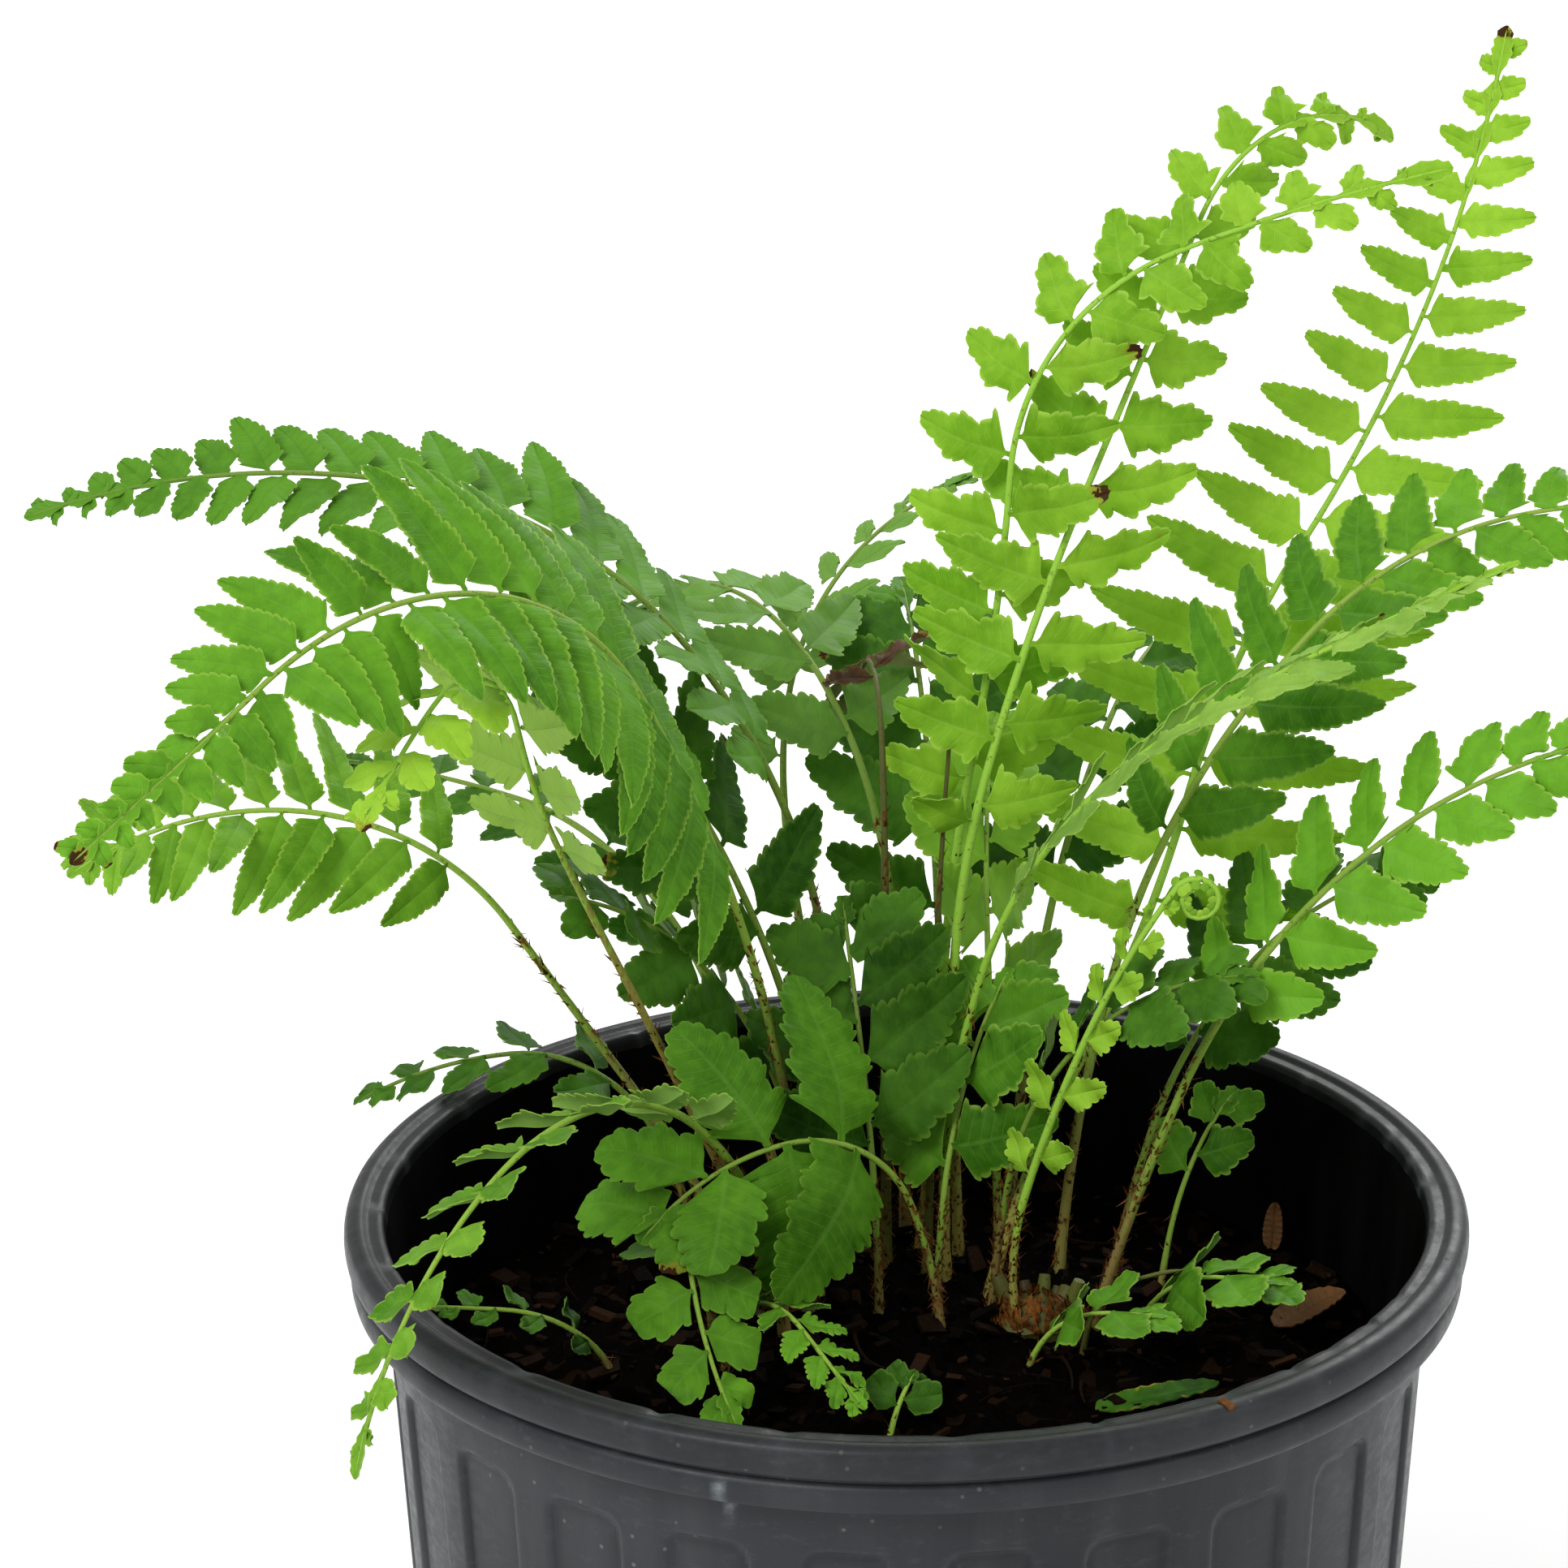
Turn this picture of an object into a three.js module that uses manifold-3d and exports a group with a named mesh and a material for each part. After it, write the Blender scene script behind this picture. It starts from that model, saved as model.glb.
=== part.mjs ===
// Potted fern in a black nursery can. Millimetres, +Z up.
// The origin is the middle of the pot's flat base. The front of the plant faces -Y, with +X to
// its right. Each frond is one node: a three-sided stem with its pinnae grown out of its sides.

import * as THREE from 'three';
import { mergeVertices } from 'three/addons/utils/BufferGeometryUtils.js';
import Module from 'manifold-3d';

const wasm = await Module();
wasm.setup();

// Driving dimensions.

const POT_HEIGHT = 240;
const RIM_RADIUS = 140;
const BASE_RADIUS = 117.5;
const WALL_TOP_RADIUS = 130.5;
const WALL_TOP_Z = 222;
const WALL = 2.4;
const BASE_CHAMFER = 3.5;
const RIM_LIP = 10.5;
const POT_SEGMENTS = 48;
const FLUTES = 24;
const FLUTE_WIDTH = 22;
const FLUTE_DEPTH = 1.3;
const FLUTE_TOP_Z = 208;
const FLUTE_BOTTOM_Z = 16;
const FLUTE_CORNER = 5;

const SOIL_Z = 192;
const SOIL_MOUND = 5;
const SOIL_SEGMENTS = 26;
const GAP = 0.35;
const CROWN_DETAIL = 0;
const HOLE_PLAY = 3.3;

const ROOTED = 9;
const STEM_WIDTH = 3.8;
const STEM_TIP = 1.2;
const BLADE = 0.7;
const GUARD = 0.7;
const STIPE_STEP = 26;
const ROOT_WIDTH = 2.8;
const PITCH = 11;
const STEM_CLEAR = 1.3;
const BOW = 0.09;
const TWIST_PLAY = 16;
const SWING_PLAY = 8;
const LIFT_PLAY = 8;

const COLOURS = {
  pot: 0x34383f,
  soil: 0x1c1613,
  bright: 0x8fb94a,
  fresh: 0x6f9f3c,
  green: 0x4a7f30,
  dark: 0x2f5f27,
  crown: 0x6b3d1c,
  dead: 0x6a4a2c,
};

// One row a frond. foot: place in the soil. heading and turn: compass of the foot and its
// change by the tip, 0 to the right and 90 away. climb: slopes of the stem, evenly spaced from
// foot to tip. bare: share of stem without pinnae. pinna and width: size of the largest pinnae.
// roll: tilt of the blade about the stem at the tip, less by twist at the foot. sweep: angle of
// the pinnae to the stem, with those on the right further forward by slant and those on the
// left further back. pitch: turn of a pinna about its own middle. hang: droop of its tip.
// loose: how unevenly the pinnae lie, 1 where it isn't given.
const FRONDS = [
  { name: 'frond_left_big', tone: 'green', foot: [-20, 38], heading: 216, turn: 8,
    climb: [82, 79, 70, 60, 14, -28, -25], length: 388, bare: 0.38, pairs: 24, pinna: 54, width: 14.5,
    roll: 56, twist: 30, sweep: 84, slant: 16, pitch: -14, hang: 25 },
  { name: 'frond_left_behind', tone: 'dark', foot: [-8, 62], heading: 172, turn: 10,
    climb: [84, 83, 53, 8, -20], length: 367, bare: 0.4, pairs: 18, pinna: 38, width: 14.5, roll: 40,
    twist: 70, sweep: 72, pitch: -14, hang: 10 },
  { name: 'frond_left_low', tone: 'fresh', foot: [-42, 50], heading: 184, turn: 6,
    climb: [80, 57, 57, 9, -35], length: 251, bare: 0.58, pairs: 11, pinna: 36, width: 10.5, roll: 40,
    sweep: 74, hang: 14 },
  { name: 'frond_left_bright', tone: 'bright', foot: [-30, 34], heading: 205, turn: 40,
    climb: [81, 64, 65, 62, 62, 75, -26, -36], length: 286, bare: 0.56, pairs: 8, pinna: 27, width: 14,
    roll: 4, sweep: 78, hang: 24 },
  { name: 'frond_over_rim', tone: 'fresh', foot: [-30, 18], heading: 228, turn: 2,
    climb: [90, 46, -26, -74], length: 244, bare: 0.34, pairs: 10, pinna: 22, width: 13, roll: -20,
    sweep: 74, hang: -10 },
  { name: 'frond_front_broad', tone: 'green', foot: [10, 18], heading: 192, turn: 20,
    climb: [89, 70, -4, -44], length: 136, bare: 0.46, pairs: 4, pinna: 50, width: 28, roll: 40,
    sweep: 78, hang: 36 },
  { name: 'frond_front_round', tone: 'fresh', foot: [-48, 18], heading: 226, turn: 84,
    climb: [89, 62, -46, -52], length: 116, bare: 0.44, pairs: 4, pinna: 19, width: 17, roll: 0,
    sweep: 72, hang: 10 },
  { name: 'frond_front_fine', tone: 'fresh', foot: [-46, 2], heading: 300, turn: 10,
    climb: [88, 50, -26, -30], length: 84, bare: 0.36, pairs: 6, pinna: 15, width: 7, roll: 0,
    sweep: 60, hang: 8 },
  { name: 'frond_right_tall', tone: 'bright', foot: [20, 36], heading: 40, turn: 0,
    climb: [75, 50, 69, 44, 60, 78], length: 367, bare: 0.3, pairs: 17, pinna: 52, width: 12.5,
    roll: -20, sweep: 90, slant: 8, hang: 14 },
  { name: 'frond_right_second', tone: 'bright', foot: [15, 57], heading: 30, turn: 4,
    climb: [92, 91, 71, 62, 62, -43], length: 367, bare: 0.34, pairs: 14, pinna: 32, width: 14.5,
    roll: -56, sweep: 84, slant: 8, hang: 26, loose: 2.4 },
  { name: 'frond_right_third', tone: 'bright', foot: [4, 66], heading: 30, turn: -30,
    climb: [83, 86, 79, 86, 20, 12], length: 366, bare: 0.36, pairs: 13, pinna: 30, width: 14.5,
    roll: -52, sweep: 82, slant: 8, hang: 22, loose: 2.4 },
  { name: 'frond_right_arching', tone: 'green', foot: [40,48], heading: 8, turn: 0,
    climb: [88, 74, 46, -14], length: 296, bare: 0.44, pairs: 12, pinna: 37, width: 14, roll: -38,
    sweep: 68, slant: 8, hang: 16 },
  { name: 'frond_right_edge_on', tone: 'bright', foot: [12, 46], heading: -26, turn: 16,
    climb: [96, 74, 35, 25], length: 282, bare: 0.4, pairs: 12, pinna: 34, width: 10, roll: -2,
    sweep: 44, hang: 4 },
  { name: 'frond_right_low', tone: 'green', foot: [46, 22], heading: -6, turn: 4,
    climb: [76, 68, 42, 8], length: 234, bare: 0.42, pairs: 9, pinna: 30, width: 14, roll: -44,
    sweep: 64, hang: 10 },
  { name: 'frond_coiled', tone: 'bright', foot: [31, 19], heading: 0, turn: 0, climb: [107,74,67,55],
    length: 138, bare: 0.34, pairs: 6, pinna: 14, width: 8.5, roll: -46, sweep: 56, hang: 0,
    coil: { turns: 1.2, from: 6.5, to: 3 } },
  { name: 'frond_back_left', tone: 'dark', foot: [2, 74], heading: 116, turn: 6,
    climb: [88, 84, 16, -50], length: 278, bare: 0.5, pairs: 7, pinna: 33, width: 15, roll: 0,
    sweep: 64, hang: 18 },
  { name: 'frond_back_far', tone: 'dark', foot: [-8, 82], heading: 150, turn: -118,
    climb: [82, 60, 30, 8], length: 262, bare: 0.5, pairs: 7, pinna: 22, width: 8, roll: 14, sweep: 60,
    hang: 6 },
  { name: 'frond_left_inner', tone: 'dark', foot: [-14, 50], heading: 182, turn: 2,
    climb: [86, 76, 62, 36], length: 222, bare: 0.46, pairs: 7, pinna: 38, width: 18, roll: 54,
    sweep: 66, hang: 8 },
  { name: 'frond_back_low_left', tone: 'dark', foot: [-26, 66], heading: 146, turn: -14,
    climb: [80, 60, 0, -12], length: 240, bare: 0.38, pairs: 7, pinna: 24, width: 11, roll: 12,
    sweep: 64, hang: 16 },
  { name: 'frond_rim_left', tone: 'dark', foot: [-50, 62], heading: 162, turn: 10,
    climb: [82, 62, -10, -34], length: 138, bare: 0.42, pairs: 5, pinna: 20, width: 9.5, roll: 10,
    sweep: 60, hang: 14 },
  { name: 'frond_back_right', tone: 'dark', foot: [28, 72], heading: 62, turn: 10,
    climb: [86, 64, 20, -30], length: 246, bare: 0.4, pairs: 7, pinna: 36, width: 17, roll: 8,
    sweep: 64, hang: 16 },
  { name: 'frond_middle_front', tone: 'dark', foot: [-6, 24], heading: 116, turn: -20,
    climb: [90, 82, 62, 36], length: 122, bare: 0.42, pairs: 5, pinna: 36, width: 20, roll: 0,
    sweep: 70, hang: 22 },
  { name: 'frond_middle_pale', tone: 'fresh', foot: [26, 56], heading: 110, turn: -30,
    climb: [86, 80, 60, 30], length: 160, bare: 0.44, pairs: 5, pinna: 34, width: 19, roll: -30,
    sweep: 68, hang: 10 },
  { name: 'frond_middle_left', tone: 'dark', foot: [-22, 48], heading: 196, turn: 10,
    climb: [88, 78, 52, 14], length: 158, bare: 0.42, pairs: 5, pinna: 36, width: 19, roll: 30,
    sweep: 68, hang: 14 },
  { name: 'frond_middle_back', tone: 'dark', foot: [12, 78], heading: 96, turn: 0,
    climb: [88, 82, 52, 4], length: 204, bare: 0.44, pairs: 6, pinna: 38, width: 19, roll: 0, sweep: 68,
    hang: 14 },
  { name: 'frond_middle_right', tone: 'dark', foot: [22, 28], heading: 342, turn: 8,
    climb: [88, 80, 46, 0], length: 142, bare: 0.44, pairs: 5, pinna: 30, width: 17, roll: -24,
    sweep: 66, hang: 12 },
  { name: 'frond_middle_low', tone: 'green', foot: [8, 26], heading: 68, turn: -10,
    climb: [88, 78, 56, 30], length: 104, bare: 0.42, pairs: 4, pinna: 32, width: 19, roll: 0,
    sweep: 70, hang: 16 },
  { name: 'frond_right_dark', tone: 'dark', foot: [52, 44], heading: 20, turn: -20,
    climb: [80, 72, 48, 10], length: 156, bare: 0.46, pairs: 6, pinna: 32, width: 17, roll: -26,
    sweep: 66, hang: 14 },
  { name: 'leaf_soil_right', tone: 'fresh', foot: [58, 20], heading: 330, turn: 20,
    climb: [88, 50, 2, -4], length: 58, bare: 0.28, pairs: 3, pinna: 24, width: 17, roll: 0, sweep: 66,
    hang: 6 },
  { name: 'leaf_soil_front', tone: 'fresh', foot: [30, 2], heading: 340, turn: 14,
    climb: [88, 50, 2, -4], length: 52, bare: 0.28, pairs: 3, pinna: 18, width: 13, roll: 0, sweep: 66,
    hang: 6 },
  { name: 'leaf_thin_stem', tone: 'green', foot: [66, 44], heading: 40, turn: 10,
    climb: [84, 74, 52, 20], length: 66, bare: 0.52, pairs: 2, pinna: 17, width: 13, roll: -30,
    sweep: 60, hang: 8 },
  { name: 'weed_clover', tone: 'fresh', foot: [-6, -40], heading: 60, turn: 0, climb: [80, 60, 40, 20],
    length: 26, bare: 0.5, pairs: 2, pinna: 10, width: 9, roll: -30, sweep: 70, hang: 0 },
  { name: 'weed_sprig', tone: 'green', foot: [-72, -2], heading: 190, turn: -14, climb: [86, 40, 4, 0],
    length: 64, bare: 0.24, pairs: 4, pinna: 11, width: 6, roll: 14, sweep: 64, hang: 0 },
  { name: 'frond_dead', tone: 'dead', foot: [-4, 56], heading: 80, turn: 20, climb: [88, 88, 70, -84],
    length: 216, bare: 0.76, pairs: 3, pinna: 26, width: 5, roll: 20, sweep: 52, hang: 30 },
];

// Bends tried in turn where a pinna would meet something: lift, swing along the stem, size.
const BENDS = [
  [0, 0, 1], [14, 0, 1], [-14, 0, 1], [0, 12, 1], [0, -12, 1], [26, 0, 0.95], [-26, 0, 0.95],
  [16, 16, 0.85], [-16, 16, 0.85], [16, -14, 0.8], [-16, -14, 0.8], [38, 0, 0.8], [-38, 0, 0.8],
  [0, 0, 0.6], [22, 10, 0.6], [-22, 10, 0.6], [44, 20, 0.6], [-44, 20, 0.6], [0, 24, 0.45],
];

// Small helpers.

const rad = THREE.MathUtils.degToRad;
const vec = (x, y, z) => new THREE.Vector3(x, y, z);
const along = (p, ...steps) => steps.reduce((q, [d, k]) => q.addScaledVector(d, k), p.clone());

function random(seed) {
  let state = seed;
  return () => {
    state = (state * 1664525 + 1013904223) % 4294967296;
    return state / 4294967296;
  };
}

// value at u of evenly spaced knots
function blend(knots, u) {
  const place = THREE.MathUtils.clamp(u, 0, 1) * (knots.length - 1);
  const i = Math.min(Math.floor(place), knots.length - 2);
  return knots[i] + (knots[i + 1] - knots[i]) * (place - i);
}

function geometryOf(points, triangles) {
  const geometry = new THREE.BufferGeometry();
  const places = points.flatMap((p) => [p.x, p.y, p.z]);
  geometry.setAttribute('position', new THREE.Float32BufferAttribute(places, 3));
  geometry.setIndex(triangles.flat());
  return geometry;
}

function solidOf(geometry) {
  const bare = new THREE.BufferGeometry();
  bare.setAttribute('position', geometry.getAttribute('position'));
  if (geometry.index) {
    bare.setIndex(geometry.index);
  }
  const merged = mergeVertices(bare, 1e-4);
  return new wasm.Manifold(new wasm.Mesh({
    numProp: 3,
    vertProperties: new Float32Array(merged.getAttribute('position').array),
    triVerts: new Uint32Array(merged.index.array),
  }));
}

function geometryFrom(solid) {
  const mesh = solid.getMesh();
  const geometry = new THREE.BufferGeometry();
  geometry.setAttribute('position', new THREE.Float32BufferAttribute(mesh.vertProperties, 3));
  geometry.setIndex(Array.from(mesh.triVerts));
  return geometry;
}

// prism over a flat outline in X and Y, from z0 to z1, then placed by a matrix
function prism(outline, z0, z1, matrix) {
  const points = [...outline.map(([x, y]) => vec(x, y, z0)), ...outline.map(([x, y]) => vec(x, y, z1))];
  const n = outline.length;
  const triangles = [];
  for (let i = 0; i < n; i += 1) {
    const j = (i + 1) % n;
    triangles.push([i, j, n + j], [i, n + j, n + i]);
  }
  for (let i = 1; i < n - 1; i += 1) {
    triangles.push([0, i + 1, i], [n, n + i, n + i + 1]);
  }
  points.forEach((p) => p.applyMatrix4(matrix));
  return geometryOf(points, triangles);
}

function lathe(profile, segments) {
  const geometry = new THREE.LatheGeometry(profile.map(([r, z]) => new THREE.Vector2(r, z)), segments);
  geometry.rotateX(Math.PI / 2);
  return geometry;
}

function frame(x, y, z, origin) {
  return new THREE.Matrix4().makeBasis(x, y, z).setPosition(origin);
}

// Pot and soil.

function wallRadius(z) {
  const share = (z - BASE_CHAMFER) / (WALL_TOP_Z - BASE_CHAMFER);
  return BASE_RADIUS + (WALL_TOP_RADIUS - BASE_RADIUS) * share;
}

// profile from the axis under the base, up the outside, over the rim and down the inside
function potProfile() {
  const top = POT_HEIGHT;
  const bead = RIM_RADIUS - 1.4;
  const groove = RIM_RADIUS - 2.8;
  const inner = RIM_RADIUS - RIM_LIP;
  return [
    [0, 0],
    [BASE_RADIUS - BASE_CHAMFER, 0],
    [BASE_RADIUS, BASE_CHAMFER],
    [WALL_TOP_RADIUS, WALL_TOP_Z],
    [bead - 1.2, WALL_TOP_Z + 0.8],
    [bead, WALL_TOP_Z + 2.2],
    [bead, top - 11.2],
    [groove, top - 10.2],
    [groove, top - 9.2],
    [RIM_RADIUS, top - 8.2],
    [RIM_RADIUS, top - 1.6],
    [RIM_RADIUS - 1.6, top],
    [inner, top],
    [wallRadius(BASE_CHAMFER) - WALL - 1, BASE_CHAMFER],
    [0, BASE_CHAMFER],
  ];
}

function flute(turn) {
  const half = FLUTE_WIDTH / 2;
  const narrow = half * wallRadius(FLUTE_BOTTOM_Z) / wallRadius(FLUTE_TOP_Z);
  const outline = [
    [-narrow, FLUTE_BOTTOM_Z],
    [narrow, FLUTE_BOTTOM_Z],
    [half, FLUTE_TOP_Z - FLUTE_CORNER],
    [half - FLUTE_CORNER, FLUTE_TOP_Z],
    [FLUTE_CORNER - half, FLUTE_TOP_Z],
    [-half, FLUTE_TOP_Z - FLUTE_CORNER],
  ];
  const lean = Math.atan((WALL_TOP_RADIUS - BASE_RADIUS) / (WALL_TOP_Z - BASE_CHAMFER));
  const out = vec(Math.cos(turn) * Math.cos(lean), Math.sin(turn) * Math.cos(lean), -Math.sin(lean));
  const across = vec(-Math.sin(turn), Math.cos(turn), 0);
  const up = out.clone().cross(across);
  const foot = vec(Math.cos(turn), Math.sin(turn), 0).multiplyScalar(wallRadius(0));
  return prism(outline, -FLUTE_DEPTH, 3, frame(across, up, out, foot));
}

function potSolid() {
  let pot = solidOf(lathe(potProfile(), POT_SEGMENTS));
  for (let i = 0; i < FLUTES; i += 1) {
    pot = pot.subtract(solidOf(flute((i + 0.5) * 2 * Math.PI / FLUTES)));
  }
  return pot;
}

function soilHeight(x, y) {
  const mound = SOIL_MOUND * Math.exp(-((x - 6) ** 2 + (y - 38) ** 2) / 2800);
  const waves = 1.6 * Math.sin(x * 0.083 + 1.1) * Math.cos(y * 0.071) + 0.9 * Math.sin(x * 0.19 - y * 0.16);
  return SOIL_Z + mound + waves;
}

function soilSolid() {
  const edge = (z) => wallRadius(z) - WALL - GAP;
  const rings = [0.4, 0.7, 0.97];
  const points = [vec(0, 0, soilHeight(0, 0))];
  const triangles = [];
  const ring = (radius, height) => {
    for (let i = 0; i < SOIL_SEGMENTS; i += 1) {
      const a = i * 2 * Math.PI / SOIL_SEGMENTS;
      const x = radius * Math.cos(a);
      const y = radius * Math.sin(a);
      points.push(vec(x, y, height(x, y)));
    }
  };
  rings.forEach((share) => ring(share * edge(SOIL_Z), soilHeight));
  ring(edge(SOIL_Z) - 0.6, () => SOIL_Z - 5);
  ring(edge(BASE_CHAMFER) - 2, () => BASE_CHAMFER + GAP);
  points.push(vec(0, 0, BASE_CHAMFER + GAP));
  const last = points.length - 1;
  const rows = rings.length + 2;
  for (let i = 0; i < SOIL_SEGMENTS; i += 1) {
    const j = (i + 1) % SOIL_SEGMENTS;
    const at = (row, k) => 1 + row * SOIL_SEGMENTS + k;
    triangles.push([0, at(0, i), at(0, j)]);
    for (let row = 0; row < rows - 1; row += 1) {
      triangles.push([at(row, i), at(row + 1, i), at(row + 1, j)]);
      triangles.push([at(row, i), at(row + 1, j), at(row, j)]);
    }
    triangles.push([last, at(rows - 1, j), at(rows - 1, i)]);
  }
  return solidOf(geometryOf(points, triangles));
}

// Fronds.

// the frond's line as fine steps, each with its place, direction, side and up
function frondLine(spec) {
  const steps = 160;
  const coil = spec.coil;
  const line = [];
  const place = vec(spec.foot[0], spec.foot[1], SOIL_Z - ROOTED + 3);
  const add = (share, climb, stride) => {
    const heading = rad(spec.heading + spec.turn * Math.min(share, 1));
    const lift = rad(climb);
    const flat = vec(Math.cos(heading), Math.sin(heading), 0);
    const tangent = flat.clone().multiplyScalar(Math.cos(lift)).add(vec(0, 0, Math.sin(lift)));
    const level = vec(Math.sin(heading), -Math.cos(heading), 0);
    const rise = level.clone().cross(tangent);
    const lean = rad(spec.roll - (spec.twist ?? 0) * Math.max(1 - share, 0));
    const roll = lean * THREE.MathUtils.smoothstep(share, spec.bare * 0.4, spec.bare);
    const side = along(vec(0, 0, 0), [level, Math.cos(roll)], [rise, Math.sin(roll)]);
    const up = side.clone().cross(tangent);
    line.push({ share, place: place.clone(), tangent, side, up });
    place.addScaledVector(tangent, stride);
  };
  for (let i = 0; i <= steps; i += 1) {
    add(i / steps, blend(spec.climb, i / steps), spec.length / steps);
  }
  if (coil) {
    const turnSteps = Math.round(coil.turns * 14);
    for (let i = 1; i <= turnSteps; i += 1) {
      const radius = coil.from + (coil.to - coil.from) * i / turnSteps;
      add(1 + i / turnSteps, spec.climb[3] - i * coil.turns * 360 / turnSteps, radius * 2 * Math.PI / 14);
    }
  }
  return line;
}

function lineAt(line, share) {
  const i = Math.max(1, line.findIndex((step) => step.share >= share));
  const a = line[i - 1];
  const b = line[i];
  const u = (share - a.share) / (b.share - a.share);
  const mix = (key) => a[key].clone().lerp(b[key], u);
  return {
    share,
    place: mix('place'),
    tangent: mix('tangent').normalize(),
    side: mix('side').normalize(),
    up: mix('up').normalize(),
  };
}

function stemWidth(spec, share) {
  const full = Math.min(STEM_WIDTH, 1.5 + spec.length * 0.0105);
  const tip = spec.coil ? 1.9 : Math.min(STEM_TIP, full);
  return full + (tip - full) * Math.min(share, 1) ** 0.8;
}

// three corners of the stem at one step: right, under, left
function stemRing(spec, step, skew) {
  const width = stemWidth(spec, step.share);
  const flat = width * 0.3;
  return [
    along(step.place, [step.side, width / 2], [step.up, flat], [step.tangent, skew]),
    along(step.place, [step.up, -width * 0.55]),
    along(step.place, [step.side, -width / 2], [step.up, flat], [step.tangent, -skew]),
  ];
}

// size of the pinnae along the leafy part, 0 at the first pair and 1 at the tip; fronds with
// many pairs run out to a finer tip
function pinnaShare(spec, w) {
  const run = 0.3 + 0.036 * spec.pairs;
  return Math.min(1, 0.7 + 1.5 * w) * Math.max((1 - w ** 1.4) ** run, 0.11);
}

// place of a pair on the stem; the pairs stand closer towards the tip
function pairShare(spec, k) {
  const x = (k + 0.42) / (spec.pairs + 0.3);
  return spec.bare + (1 - spec.bare) * x * (1.35 - 0.35 * x);
}

// stations of rings: the bare stem first, then two rings a pair of pinnae
function frondRings(spec) {
  const line = frondLine(spec);
  const rings = [];
  const bareSteps = Math.max(3, Math.round(spec.bare * spec.length / STIPE_STEP));
  for (let i = 0; i < bareSteps; i += 1) {
    rings.push({ share: spec.bare * i / bareSteps, skew: 0, pair: -1 });
  }
  const gap = 0.7 * (1 - spec.bare) * spec.length / spec.pairs;
  const root = Math.min(ROOT_WIDTH, gap * 0.6);
  for (let k = 0; k < spec.pairs; k += 1) {
    const middle = pairShare(spec, k);
    const half = root / 2 / spec.length;
    const skew = Math.min(gap * 0.25, 2.4);
    rings.push({ share: middle - half, skew, pair: k });
    rings.push({ share: middle + half, skew, pair: -1 });
  }
  rings.push({ share: 1, skew: 0, pair: -1 });
  if (spec.coil) {
    for (let i = 1; i <= 12; i += 1) {
      rings.push({ share: 1 + i / 12, skew: 0, pair: -1 });
    }
  }
  return rings.map((ring) => {
    const step = lineAt(line, ring.share);
    return { ...ring, step, corners: stemRing(spec, step, ring.skew) };
  });
}

// rings of a stalk without pinnae, evenly spaced
function stalkRings(spec) {
  const line = frondLine(spec);
  const count = Math.max(4, Math.round(spec.length / STIPE_STEP));
  const rings = [];
  for (let i = 0; i <= count; i += 1) {
    const step = lineAt(line, i / count);
    rings.push({ share: i / count, skew: 0, pair: -1, step, corners: stemRing(spec, step, 0) });
  }
  return rings;
}

// edges of one pinna from root to tip as [place, share of the half width]: the near edge and
// the far edge, each with a lobe at the root and notches further out
function pinnaEdges(length) {
  if (length > 29) {
    return [[[0.12, 0.92], [0.4, 0.9], [0.7, 0.64]], [[0.13, 1.02], [0.36, 0.88], [0.72, 0.62]]];
  }
  if (length > 13) {
    return [[[0.24, 0.98], [0.6, 0.72]], [[0.17, 1.02], [0.64, 0.76]]];
  }
  return [[[0.34, 1]], [[0.4, 1]]];
}

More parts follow.
